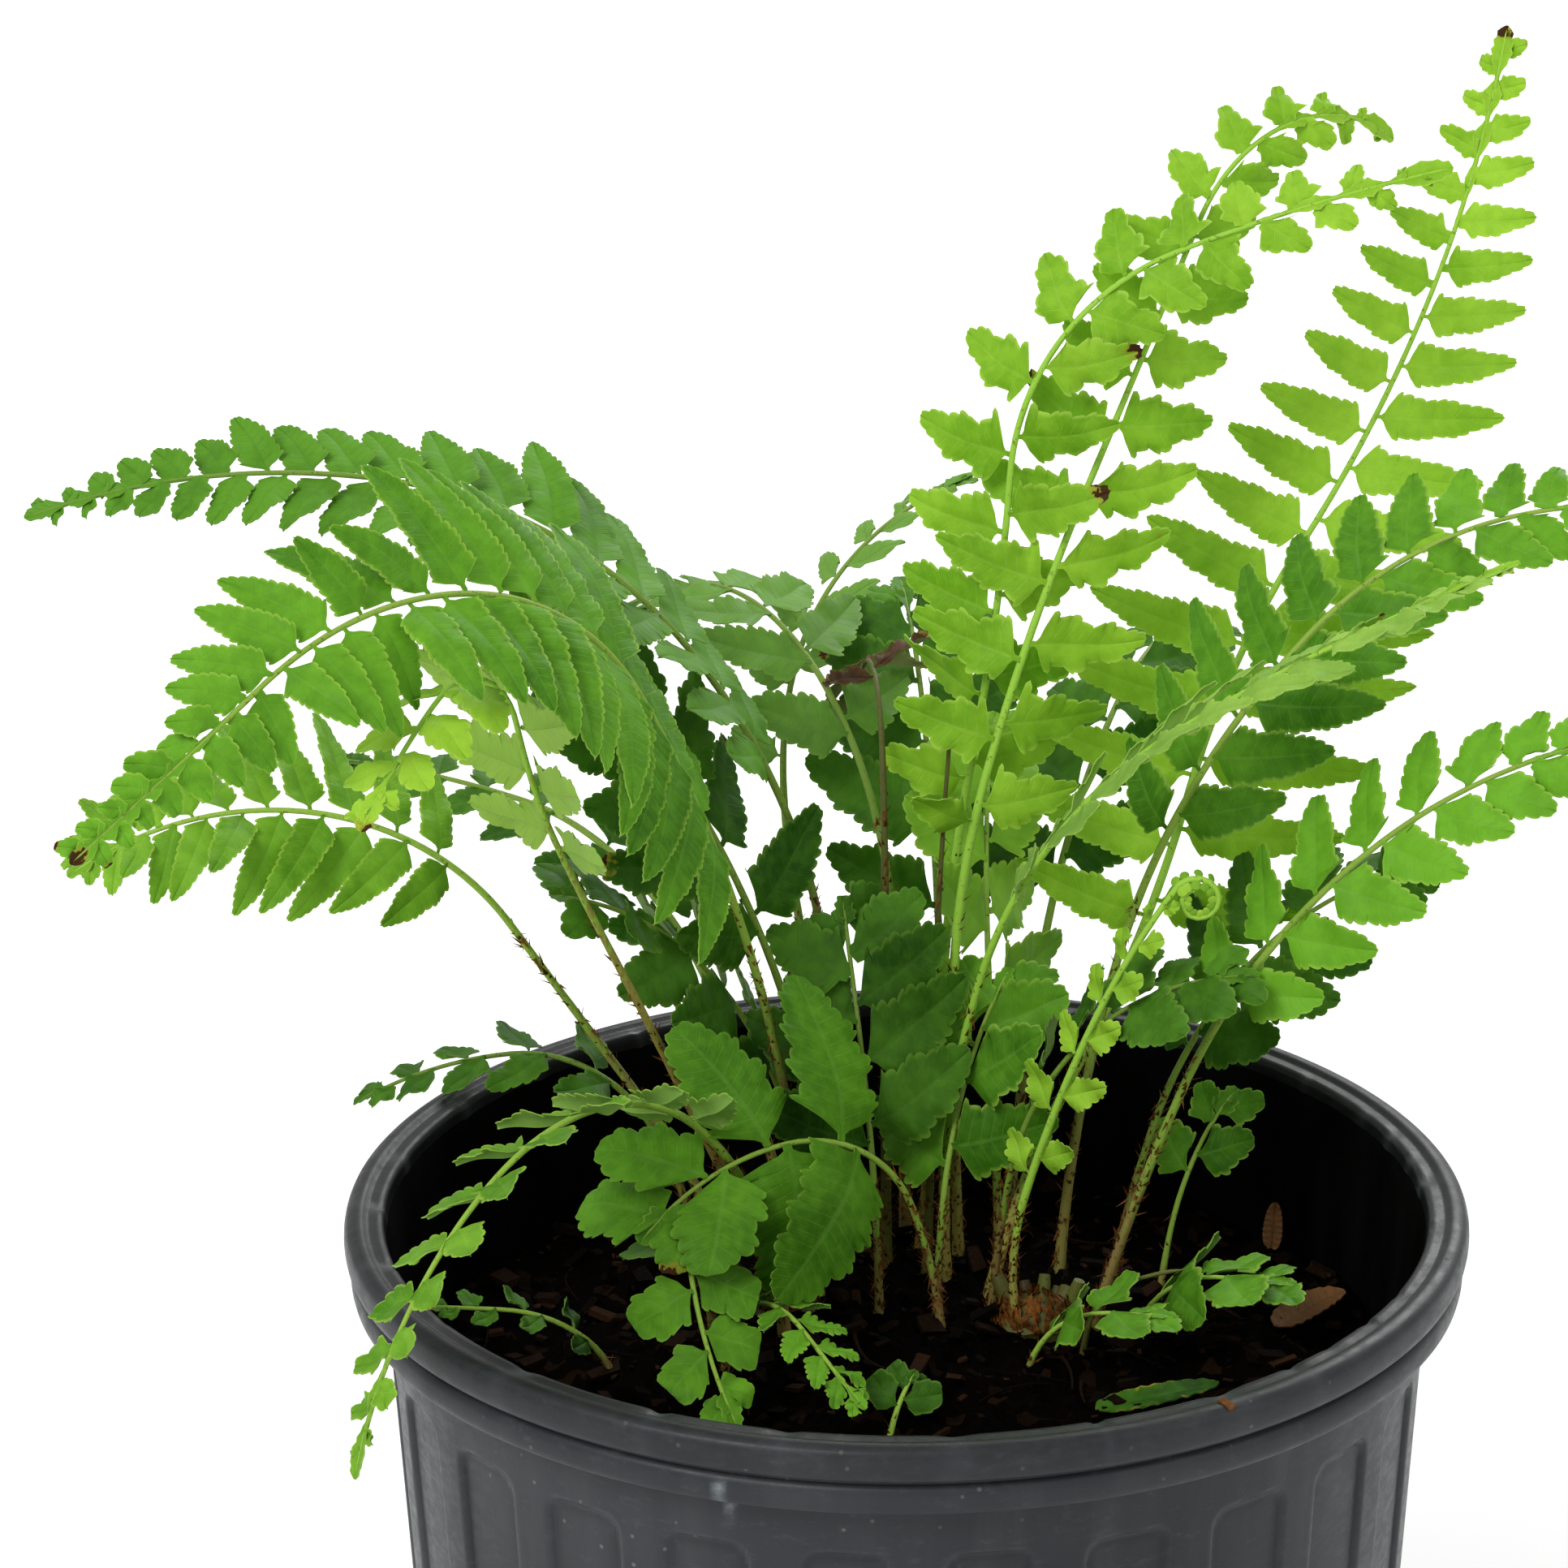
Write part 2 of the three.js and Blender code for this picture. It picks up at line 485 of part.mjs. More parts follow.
// outline points of one pinna, in pairs of upper and lower face, from its near edge
// round the tip to its far edge, each kept off the side of the stem
function pinnaPoints(spec, near, far, sign, index, bend, thick) {
  const [lift, swing, size] = bend;
  const w = (index + 0.5) / spec.pairs;
  const next = random(index * 7919 + spec.length * 31 + (sign > 0 ? 17 : 5));
  const length = spec.pinna * pinnaShare(spec, w) * size * (0.94 + 0.12 * next());
  const fullWidth = spec.width * Math.min(1, 0.4 + 0.75 * pinnaShare(spec, w));
  const width = Math.min(fullWidth, length * 0.9) * size ** 0.5;
  const step = near.step;
  const out = step.side.clone().multiplyScalar(sign);
  const loose = spec.loose ?? 1;
  const raise = rad(lift + LIFT_PLAY * loose * (next() - 0.5));
  const slant = (spec.slant ?? 0) * sign;
  const sweep = rad(spec.sweep - slant - 14 * w + swing + SWING_PLAY * loose * (next() - 0.5));
  const flat = along(vec(0, 0, 0), [step.tangent, Math.cos(sweep)], [out, Math.sin(sweep)]);
  const axis = along(vec(0, 0, 0), [flat, Math.cos(raise)], [step.up, Math.sin(raise)]).normalize();
  const level = step.up.clone().addScaledVector(axis, -step.up.dot(axis)).normalize();
  const across = level.clone().cross(axis).multiplyScalar(sign).normalize();
  const pitch = rad((spec.pitch ?? PITCH) + TWIST_PLAY * loose * (next() - 0.5));
  const breadth = along(vec(0, 0, 0), [across, Math.cos(pitch)], [level, Math.sin(pitch)]);
  const face = along(vec(0, 0, 0), [level, Math.cos(pitch)], [across, -Math.sin(pitch)]);
  const start = near.corners[sign > 0 ? 0 : 2].clone().lerp(far.corners[sign > 0 ? 0 : 2], 0.5);
  const outward = along(vec(0, 0, 0), [out, 0.86], [step.up, -0.51]);
  const hang = rad(spec.hang);
  const at = (u, b, jag) => {
    const bent = hang * u;
    const reach = length * u * (1 - 0.08 * bent * bent);
    const drop = -length * u * Math.sin(bent / 2);
    const middle = along(start, [axis, reach], [face, drop - stemWidth(spec, step.share) * 0.18]);
    const wave = 0.5 * Math.sin(u * 7 + b * 2 + index);
    const bow = BOW * length * u * u;
    const spot = along(middle, [breadth, b * width * 0.5 * jag + bow], [face, wave]);
    const clear = spot.clone().sub(start).dot(outward);
    spot.addScaledVector(out, Math.max(0, STEM_CLEAR - clear) / 0.86);
    return [along(spot, [face, thick / 2]), along(spot, [face, -thick / 2])];
  };
  const [nearEdge, farEdge] = pinnaEdges(length);
  const nearSide = nearEdge.map(([u, b]) => at(u, -b, 0.92 + 0.2 * next()));
  const farSide = farEdge.map(([u, b]) => at(u, b, 0.92 + 0.2 * next())).reverse();
  return [...nearSide, at(1, 0.1, 1), ...farSide];
}

// triangles of one pinna between two chains that start and end at the stem
function pinnaFaces(chainA, chainB) {
  const n = chainA.length;
  const triangles = [];
  for (let i = 0; i < n - 1; i += 1) {
    triangles.push([chainA[i], chainB[i], chainB[i + 1]]);
    triangles.push([chainA[i], chainB[i + 1], chainA[i + 1]]);
  }
  for (let i = 0, j = n - 1; i < j - 1; i += 1, j -= 1) {
    triangles.push([chainA[i], chainA[i + 1], chainA[j]]);
    triangles.push([chainB[i], chainB[j], chainB[i + 1]]);
    if (i + 1 < j - 1) {
      triangles.push([chainA[i + 1], chainA[j - 1], chainA[j]]);
      triangles.push([chainB[i + 1], chainB[j], chainB[j - 1]]);
    }
  }
  return triangles;
}

// one pinna as a closed solid of its own, made thicker, to test what it would meet
function pinnaTest(spec, near, far, sign, index, bend) {
  const points = pinnaPoints(spec, near, far, sign, index, bend, BLADE + GUARD);
  const [a, b] = sign > 0 ? [0, 1] : [1, 2];
  const stem = [near.corners[a], near.corners[b], far.corners[b], far.corners[a]];
  const chainA = [0, ...points.map((p, i) => 4 + 2 * i), 3];
  const chainB = [1, ...points.map((p, i) => 5 + 2 * i), 2];
  const pick = sign > 0 ? [0, 1] : [1, 0];
  const all = [...stem, ...points.flatMap((p) => [p[pick[0]], p[pick[1]]])];
  const triangles = [...pinnaFaces(chainA, chainB), [0, 3, 2], [0, 2, 1]];
  return { solid: solidOf(geometryOf(all, triangles)), box: new THREE.Box3().setFromPoints(all) };
}

// the stem of a frond as short closed pieces, made thicker, to test what would meet it
function stemTests(rings) {
  const tests = [];
  for (let i = 0; i < rings.length - 1; i += 1) {
    const ends = [rings[i], rings[i + 1]].flatMap((ring) => ring.corners.map((corner) => {
      const out = corner.clone().sub(ring.step.place).normalize();
      return along(corner, [out, GUARD * 0.6]);
    }));
    const triangles = [[0, 2, 1], [3, 4, 5]];
    for (let k = 0; k < 3; k += 1) {
      const j = (k + 1) % 3;
      triangles.push([k, j, 3 + j], [k, 3 + j, 3 + k]);
    }
    tests.push({ solid: solidOf(geometryOf(ends, triangles)), box: new THREE.Box3().setFromPoints(ends) });
  }
  return tests;
}

function meets(test, others) {
  const touches = (other) => !test.solid.intersect(other.solid).isEmpty();
  return others.some((other) => test.box.intersectsBox(other.box) && touches(other));
}

// the frond as one closed mesh: its stem with each chosen pinna grown out of the stem's side
function frondGeometry(spec, rings, chosen) {
  const points = [];
  const triangles = [];
  const put = (p) => points.push(p) - 1;
  const ids = rings.map((ring) => ring.corners.map(put));
  triangles.push([ids[0][0], ids[0][2], ids[0][1]]);
  for (let i = 0; i < rings.length - 1; i += 1) {
    for (let k = 0; k < 3; k += 1) {
      const j = (k + 1) % 3;
      const quad = [ids[i][k], ids[i][j], ids[i + 1][j], ids[i + 1][k]];
      const sign = k === 0 ? 1 : -1;
      const bend = k < 2 && rings[i].pair >= 0 ? chosen.get(`${rings[i].pair}:${sign}`) : undefined;
      if (bend) {
        const outline = pinnaPoints(spec, rings[i], rings[i + 1], sign, rings[i].pair, bend, BLADE);
        const pick = sign > 0 ? [0, 1] : [1, 0];
        const chainA = [quad[0], ...outline.map((p) => put(p[pick[0]])), quad[3]];
        const chainB = [quad[1], ...outline.map((p) => put(p[pick[1]])), quad[2]];
        triangles.push(...pinnaFaces(chainA, chainB));
      } else {
        triangles.push([quad[0], quad[1], quad[2]], [quad[0], quad[2], quad[3]]);
      }
    }
  }
  const end = ids[ids.length - 1];
  triangles.push([end[0], end[1], end[2]]);
  return geometryOf(points, triangles);
}

// chooses for each pinna the first bend that is clear of all that stands already, of the
// frond's other pinnae and of its own stem further along
function choosePinnae(spec, rings, stem, others) {
  const chosen = new Map();
  const own = [];
  for (let i = 0; i < rings.length; i += 1) {
    const pair = rings[i].pair;
    const stemAway = stem.filter((part, k) => Math.abs(k - i) > 1);
    for (const sign of pair < 0 ? [] : [1, -1]) {
      for (const bend of BENDS) {
        const test = pinnaTest(spec, rings[i], rings[i + 1], sign, pair, bend);
        if (!meets(test, others) && !meets(test, own) && !meets(test, stemAway)) {
          chosen.set(`${pair}:${sign}`, bend);
          own.push(test);
          break;
        }
      }
    }
  }
  return { chosen, own };
}

// Small pieces.

// straight hole round the foot of a stem, a little wider than the stem
function footHole(spec) {
  const step = frondLine(spec)[0];
  const width = stemWidth(spec, 0) + HOLE_PLAY;
  const outline = [[width / 2, -width * 0.3], [0, width * 0.55], [-width / 2, -width * 0.3]];
  const matrix = frame(step.side, step.up.clone().negate(), step.tangent, step.place);
  return solidOf(prism(outline, -4, 40, matrix));
}

// a low scaly lump of old stem bases, half in the soil
function crownSolid([x, y], [rx, ry, rz], seed) {
  const next = random(seed);
  const geometry = new THREE.IcosahedronGeometry(1, CROWN_DETAIL);
  const bare = new THREE.BufferGeometry();
  bare.setAttribute('position', geometry.getAttribute('position'));
  const merged = mergeVertices(bare, 1e-4);
  const spot = merged.getAttribute('position');
  const middle = vec(x, y, SOIL_Z + 3);
  for (let i = 0; i < spot.count; i += 1) {
    const swell = 0.86 + 0.28 * next();
    const place = vec(spot.getX(i) * rx, spot.getY(i) * ry, spot.getZ(i) * rz);
    place.multiplyScalar(swell).add(middle);
    spot.setXYZ(i, place.x, place.y, place.z);
  }
  return solidOf(merged);
}

const CROWNS = [
  { name: 'crown_right', at: [34, 22], size: [15, 10, 8], seed: 11 },
  { name: 'crown_left', at: [-32, 34], size: [13, 10, 7], seed: 23 },
];

// straight or bent stalks without pinnae: cut or dead
const STALKS = [
  { name: 'stub_cut_tall', foot: [6, 52], heading: 60, turn: 0, climb: [84, 88, 84, 80],
    length: 158, bare: 1, pairs: 1, roll: 0 },
  { name: 'stub_cut_soil', foot: [44, 6], heading: 20, turn: -20, climb: [88, 76, 20, 4],
    length: 46, bare: 1, pairs: 1, roll: 0 },
];

// loose leaves and chips that lie on the soil: middle, heading, length, width, lift of the far end
const FALLEN = [
  { name: 'leaf_brown', at: [104, 26], heading: 30, length: 22, width: 11, lift: 12, tone: 'dead' },
  { name: 'leaf_green_fallen', at: [62, -22], heading: 12, length: 32, width: 10, lift: 6, tone: 'green' },
  { name: 'chip_upright', at: [98, 70], heading: 70, length: 13, width: 5, lift: 74, tone: 'dead' },
];

function fallenGeometry(piece) {
  const heading = rad(piece.heading);
  const lift = rad(piece.lift);
  const axis = vec(Math.cos(heading) * Math.cos(lift), Math.sin(heading) * Math.cos(lift), Math.sin(lift));
  const across = vec(-Math.sin(heading), Math.cos(heading), 0);
  const face = axis.clone().cross(across);
  const [x, y] = piece.at;
  const half = piece.length / 2;
  const shape = [[-1, 0], [-0.5, -0.42], [0.2, -0.5], [0.7, -0.3],
    [1, 0.05], [0.6, 0.36], [0.1, 0.5], [-0.6, 0.34]];
  const outline = shape.map(([a, b]) => [a * half, b * piece.width]);
  return prism(outline, 0, 0.9, frame(axis, across, face, vec(x, y, SOIL_Z + 24)));
}

// lowers a loose piece until it meets the soil, then lifts it by the gap
function settle(geometry, soil) {
  const solid = solidOf(geometry);
  let drop = 0;
  while (drop < 40 && solid.translate([0, 0, -drop]).intersect(soil).isEmpty()) {
    drop += 0.1;
  }
  return geometry.translate(0, 0, GAP - drop);
}

// Assembly.

function materialOf([name, color]) {
  const roughness = name === 'pot' ? 0.45 : 0.7;
  return [name, new THREE.MeshStandardMaterial({ name, color, roughness, metalness: 0 })];
}

const materials = Object.fromEntries(Object.entries(COLOURS).map(materialOf));

function addMesh(group, name, geometry, tone) {
  const mesh = new THREE.Mesh(geometry, materials[tone]);
  mesh.name = name;
  group.add(mesh);
}

function standingOf(solid) {
  const box = solid.boundingBox();
  return { solid, box: new THREE.Box3(vec(...box.min), vec(...box.max)) };
}

function potted() {
  const group = new THREE.Group();
  group.name = 'potted_fern';

  const stems = [...FRONDS, ...STALKS];
  const holes = stems.map(footHole);
  const bore = (solid) => holes.reduce((left, hole) => left.subtract(hole), solid);

  const pot = potSolid();
  addMesh(group, 'pot', geometryFrom(pot), 'pot');

  const wide = (lump) => crownSolid(lump.at, lump.size.map((s) => s + GAP * 1.3), lump.seed);
  const soil = CROWNS.reduce((left, lump) => left.subtract(wide(lump)), bore(soilSolid()));
  addMesh(group, 'soil', geometryFrom(soil), 'soil');

  const standing = [standingOf(pot), standingOf(soil)];
  for (const lump of CROWNS) {
    const solid = bore(crownSolid(lump.at, lump.size, lump.seed));
    standing.push(standingOf(solid));
    addMesh(group, lump.name, geometryFrom(solid), 'crown');
  }
  for (const piece of FALLEN) {
    const geometry = settle(fallenGeometry(piece), soil);
    standing.push(standingOf(solidOf(geometry)));
    addMesh(group, piece.name, geometry, piece.tone);
  }

  const ringsFor = (spec) => (spec.pairs > 1 ? frondRings(spec) : stalkRings(spec));
  const ringsOf = new Map(stems.map((spec) => [spec.name, ringsFor(spec)]));
  const stemsOf = new Map(stems.map((spec) => [spec.name, stemTests(ringsOf.get(spec.name))]));
  for (const spec of FRONDS) {
    const rings = ringsOf.get(spec.name);
    const otherStems = stems.filter((other) => other !== spec).flatMap((other) => stemsOf.get(other.name));
    const { chosen, own } = choosePinnae(spec, rings, stemsOf.get(spec.name), [...standing, ...otherStems]);
    standing.push(...own);
    addMesh(group, spec.name, frondGeometry(spec, rings, chosen), spec.tone);
  }
  for (const spec of STALKS) {
    addMesh(group, spec.name, frondGeometry(spec, ringsOf.get(spec.name), new Map()), 'dead');
  }
  return group;
}

export default potted();
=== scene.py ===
# Looks of the potted fern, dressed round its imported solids. Lengths are in millimetres until
# a mesh is made. The front of the plant faces -Y.
import math
import random

import bpy
import numpy as np
from mathutils import Matrix, Vector, kdtree


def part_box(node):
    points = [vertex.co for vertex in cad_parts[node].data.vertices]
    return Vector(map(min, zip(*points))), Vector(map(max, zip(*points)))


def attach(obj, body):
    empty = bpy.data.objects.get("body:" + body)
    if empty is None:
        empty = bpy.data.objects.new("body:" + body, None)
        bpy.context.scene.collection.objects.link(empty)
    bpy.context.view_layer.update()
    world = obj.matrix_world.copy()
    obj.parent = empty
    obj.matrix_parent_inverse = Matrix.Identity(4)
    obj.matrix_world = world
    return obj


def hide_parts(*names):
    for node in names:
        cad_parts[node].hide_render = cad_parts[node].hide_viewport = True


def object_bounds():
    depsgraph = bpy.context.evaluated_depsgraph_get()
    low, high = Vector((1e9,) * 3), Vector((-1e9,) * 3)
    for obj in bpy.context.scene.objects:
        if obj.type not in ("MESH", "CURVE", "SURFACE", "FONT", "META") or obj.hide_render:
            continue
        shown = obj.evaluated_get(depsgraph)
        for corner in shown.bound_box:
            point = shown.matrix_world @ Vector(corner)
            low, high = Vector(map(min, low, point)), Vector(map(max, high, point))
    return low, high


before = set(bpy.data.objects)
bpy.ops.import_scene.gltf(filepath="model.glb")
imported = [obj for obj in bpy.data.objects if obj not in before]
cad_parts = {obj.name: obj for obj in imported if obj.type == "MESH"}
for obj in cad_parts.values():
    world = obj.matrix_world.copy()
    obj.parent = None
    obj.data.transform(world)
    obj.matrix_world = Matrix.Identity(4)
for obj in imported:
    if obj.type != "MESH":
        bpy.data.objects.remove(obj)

cad_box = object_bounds()
MM = 0.001
TURN = 2 * math.pi

# Camera of the photograph: 20.3 degrees down, a long lens, the rim a little left of its middle.
CAMERA_AT = Vector((-0.02914, -1.37096, 0.85739))
CAMERA_PITCH = math.radians(20.3)
CAMERA_ROLL = math.radians(0.6)
CAMERA_LENS = 138.26


def make_camera():
    data = bpy.data.cameras.new("camera")
    data.lens = CAMERA_LENS
    data.sensor_width = 36
    data.clip_end = 60
    camera = bpy.data.objects.new("camera", data)
    bpy.context.scene.collection.objects.link(camera)
    ahead = Vector((0, math.cos(CAMERA_PITCH), -math.sin(CAMERA_PITCH)))
    down = Vector((0, -math.sin(CAMERA_PITCH), -math.cos(CAMERA_PITCH)))
    right = Vector((1, 0, 0))
    turned_right = right * math.cos(CAMERA_ROLL) + down * math.sin(CAMERA_ROLL)
    turned_down = down * math.cos(CAMERA_ROLL) - right * math.sin(CAMERA_ROLL)
    basis = Matrix((turned_right, -turned_down, -ahead)).transposed()
    camera.matrix_world = Matrix.Translation(CAMERA_AT) @ basis.to_4x4()
    bpy.context.scene.camera = camera


make_camera()

# Sizes shared with the solids.
POT_HEIGHT = 240
RIM_RADIUS = 140
BASE_RADIUS = 117.5
WALL_TOP_RADIUS = 130.5
WALL_TOP_Z = 222
WALL = 2.4
BASE_CHAMFER = 3.5
RIM_LIP = 10.5
FLUTES = 24
FLUTE_WIDTH = 22
FLUTE_DEPTH = 1.3
FLUTE_TOP_Z = 208
FLUTE_BOTTOM_Z = 16
SOIL_Z = 192
SOIL_MOUND = 5
GAP = 0.35
ROOTED = 9
STEM_WIDTH = 3.8
STEM_TIP = 1.2
BLADE = 0.7
ROOT_WIDTH = 2.8
PITCH = 11
STEM_CLEAR = 1.3
BOW = 0.09
TWIST_PLAY = 16
SWING_PLAY = 8
LIFT_PLAY = 8


class Frond:
    """One frond of the list below, by the names of its numbers."""

    def __init__(self, name, tone, foot, heading, turn, length, climb, bare=1, pairs=1, pinna=0,
                 width=0, roll=0, sweep=0, hang=0, twist=0, slant=0, pitch=PITCH, loose=1, coil=None):
        self.name, self.tone, self.foot = name, tone, foot
        self.heading, self.turn, self.length, self.climb = heading, turn, length, climb
        self.bare, self.pairs, self.pinna, self.width = bare, pairs, pinna, width
        self.roll, self.sweep, self.hang = roll, sweep, hang
        self.twist, self.slant, self.pitch, self.loose, self.coil = twist, slant, pitch, loose, coil


# Each pair of lines is one frond or leafy stem, with the numbers that its solid has.
# The first line is its stem. tone: its green. foot: where it leaves the soil. heading and turn: its
# direction, and how far that turns on its way. Then its length. climb: slopes along it, in degrees.
# The second line is its leaflets. bare: share of the stem without them. pairs, pinna and width:
# their number, length and width. roll: how the stem is turned about itself. sweep: angle of the
# leaflets to the stem. hang: how far they bend down. Some have more: twist, a roll that grows
# towards the foot; slant, what the two sides differ in sweep; pitch, their tilt, like shingles
# where it is below zero; loose, their unevenness; coil, turns of the tip, and their first and last
# radius. The last two rows are cut stems without leaflets.
FRONDS = [
    Frond("frond_left_big", "green", (-20, 38), 216, 8, 388, (82, 79, 70, 60, 14, -28, -25),
          0.38, 24, 54, 14.5, 56, 84, 25, twist=30, slant=16, pitch=-14),
    Frond("frond_left_behind", "dark", (-8, 62), 172, 10, 367, (84, 83, 53, 8, -20),
          0.4, 18, 38, 14.5, 40, 72, 10, twist=70, pitch=-14),
    Frond("frond_left_low", "fresh", (-42, 50), 184, 6, 251, (80, 57, 57, 9, -35),
          0.58, 11, 36, 10.5, 40, 74, 14),
    Frond("frond_left_bright", "bright", (-30, 34), 205, 40, 286, (81, 64, 65, 62, 62, 75, -26, -36),
          0.56, 8, 27, 14, 4, 78, 24),
    Frond("frond_over_rim", "fresh", (-30, 18), 228, 2, 244, (90, 46, -26, -74),
          0.34, 10, 22, 13, -20, 74, -10),
    Frond("frond_front_broad", "green", (10, 18), 192, 20, 136, (89, 70, -4, -44),
          0.46, 4, 50, 28, 40, 78, 36),
    Frond("frond_front_round", "fresh", (-48, 18), 226, 84, 116, (89, 62, -46, -52),
          0.44, 4, 19, 17, 0, 72, 10),
    Frond("frond_front_fine", "fresh", (-46, 2), 300, 10, 84, (88, 50, -26, -30),
          0.36, 6, 15, 7, 0, 60, 8),
    Frond("frond_right_tall", "bright", (20, 36), 40, 0, 367, (75, 50, 69, 44, 60, 78),
          0.3, 17, 52, 12.5, -20, 90, 14, slant=8),
    Frond("frond_right_second", "bright", (15, 57), 30, 4, 367, (92, 91, 71, 62, 62, -43),
          0.34, 14, 32, 14.5, -56, 84, 26, slant=8, loose=2.4),
    Frond("frond_right_third", "bright", (4, 66), 30, -30, 366, (83, 86, 79, 86, 20, 12),
          0.36, 13, 30, 14.5, -52, 82, 22, slant=8, loose=2.4),
    Frond("frond_right_arching", "green", (40, 48), 8, 0, 296, (88, 74, 46, -14),
          0.44, 12, 37, 14, -38, 68, 16, slant=8),
    Frond("frond_right_edge_on", "bright", (12, 46), -26, 16, 282, (96, 74, 35, 25),
          0.4, 12, 34, 10, -2, 44, 4),
    Frond("frond_right_low", "green", (46, 22), -6, 4, 234, (76, 68, 42, 8),
          0.42, 9, 30, 14, -44, 64, 10),
    Frond("frond_coiled", "bright", (31, 19), 0, 0, 138, (107, 74, 67, 55),
          0.34, 6, 14, 8.5, -46, 56, 0, coil=(1.2, 6.5, 3)),
    Frond("frond_back_left", "dark", (2, 74), 116, 6, 278, (88, 84, 16, -50),
          0.5, 7, 33, 15, 0, 64, 18),
    Frond("frond_back_far", "dark", (-8, 82), 150, -118, 262, (82, 60, 30, 8),
          0.5, 7, 22, 8, 14, 60, 6),
    Frond("frond_left_inner", "dark", (-14, 50), 182, 2, 222, (86, 76, 62, 36),
          0.46, 7, 38, 18, 54, 66, 8),
    Frond("frond_back_low_left", "dark", (-26, 66), 146, -14, 240, (80, 60, 0, -12),
          0.38, 7, 24, 11, 12, 64, 16),
    Frond("frond_rim_left", "dark", (-50, 62), 162, 10, 138, (82, 62, -10, -34),
          0.42, 5, 20, 9.5, 10, 60, 14),
    Frond("frond_back_right", "dark", (28, 72), 62, 10, 246, (86, 64, 20, -30),
          0.4, 7, 36, 17, 8, 64, 16),
    Frond("frond_middle_front", "dark", (-6, 24), 116, -20, 122, (90, 82, 62, 36),
          0.42, 5, 36, 20, 0, 70, 22),
    Frond("frond_middle_pale", "fresh", (26, 56), 110, -30, 160, (86, 80, 60, 30),
          0.44, 5, 34, 19, -30, 68, 10),
    Frond("frond_middle_left", "dark", (-22, 48), 196, 10, 158, (88, 78, 52, 14),
          0.42, 5, 36, 19, 30, 68, 14),
    Frond("frond_middle_back", "dark", (12, 78), 96, 0, 204, (88, 82, 52, 4),
          0.44, 6, 38, 19, 0, 68, 14),
    Frond("frond_middle_right", "dark", (22, 28), 342, 8, 142, (88, 80, 46, 0),
          0.44, 5, 30, 17, -24, 66, 12),
    Frond("frond_middle_low", "green", (8, 26), 68, -10, 104, (88, 78, 56, 30),
          0.42, 4, 32, 19, 0, 70, 16),
    Frond("frond_right_dark", "dark", (52, 44), 20, -20, 156, (80, 72, 48, 10),
          0.46, 6, 32, 17, -26, 66, 14),
    Frond("leaf_soil_right", "fresh", (58, 20), 330, 20, 58, (88, 50, 2, -4),
          0.28, 3, 24, 17, 0, 66, 6),
    Frond("leaf_soil_front", "fresh", (30, 2), 340, 14, 52, (88, 50, 2, -4),
          0.28, 3, 18, 13, 0, 66, 6),
    Frond("leaf_thin_stem", "green", (66, 44), 40, 10, 66, (84, 74, 52, 20),
          0.52, 2, 17, 13, -30, 60, 8),
    Frond("weed_clover", "fresh", (-6, -40), 60, 0, 26, (80, 60, 40, 20),
          0.5, 2, 10, 9, -30, 70, 0),
    Frond("weed_sprig", "green", (-72, -2), 190, -14, 64, (86, 40, 4, 0),
          0.24, 4, 11, 6, 14, 64, 0),
    Frond("frond_dead", "dead", (-4, 56), 80, 20, 216, (88, 88, 70, -84),
          0.76, 3, 26, 5, 20, 52, 30),
    Frond("stub_cut_tall", "dead", (6, 52), 60, 0, 158, (84, 88, 84, 80)),
    Frond("stub_cut_soil", "dead", (44, 6), 20, -20, 46, (88, 76, 20, 4)),
]

# Lift, swing and size of a leaflet, in the order that the solids try them in.
BENDS = [
    (0, 0, 1), (14, 0, 1), (-14, 0, 1), (0, 12, 1), (0, -12, 1), (26, 0, 0.95), (-26, 0, 0.95),
    (16, 16, 0.85), (-16, 16, 0.85), (16, -14, 0.8), (-16, -14, 0.8), (38, 0, 0.8), (-38, 0, 0.8),
    (0, 0, 0.6), (22, 10, 0.6), (-22, 10, 0.6), (44, 20, 0.6), (-44, 20, 0.6), (0, 24, 0.45),
]

# How each frond's leaflets are cut. spacing: length of one tooth. depth: share of the half width
# that a tooth stands out. lobes: the same for the broad waves that carry the teeth. belly: where
# the leaflet starts to narrow. taper: low for straight sides. blunt: low for a round end. ear:
# lobe at the root. fold: slope of each half from the midrib. curl: how far single leaflets twist
# and droop. brown: share with a withered end. light: how pale its green is. lighter: how much
# paler its end is. tan: how far up its stem is brown. pale: how much its face looks like its
# back. edge: how strongly its pale edge shows.
LANCE = dict(spacing=2.4, depth=0.11, lobes=0.03, belly=0.2, taper=2.0, blunt=0.76, ear=0.06, fold=7,
             curl=0.5, brown=0.0, light=0.16, lighter=0.42)
SCALLOPED = dict(spacing=3.1, depth=0.11, lobes=0.06, belly=0.2, taper=1.9, blunt=0.7, ear=0.24, fold=7,
                 curl=1.2, brown=0.04, light=0.35, lighter=0.15)
LOBED = dict(spacing=3.3, depth=0.12, lobes=0.15, belly=0.16, taper=1.7, blunt=0.72, ear=0.34, fold=8,
             curl=1.9, brown=0.12, light=0.3, lighter=0.15)
PLAIN_CUT = dict(spacing=3.2, depth=0.13, lobes=0.08, belly=0.2, taper=1.9, blunt=0.7, ear=0.18, fold=8,
                 curl=1.3, brown=0.06, light=0.08, lighter=0.2)
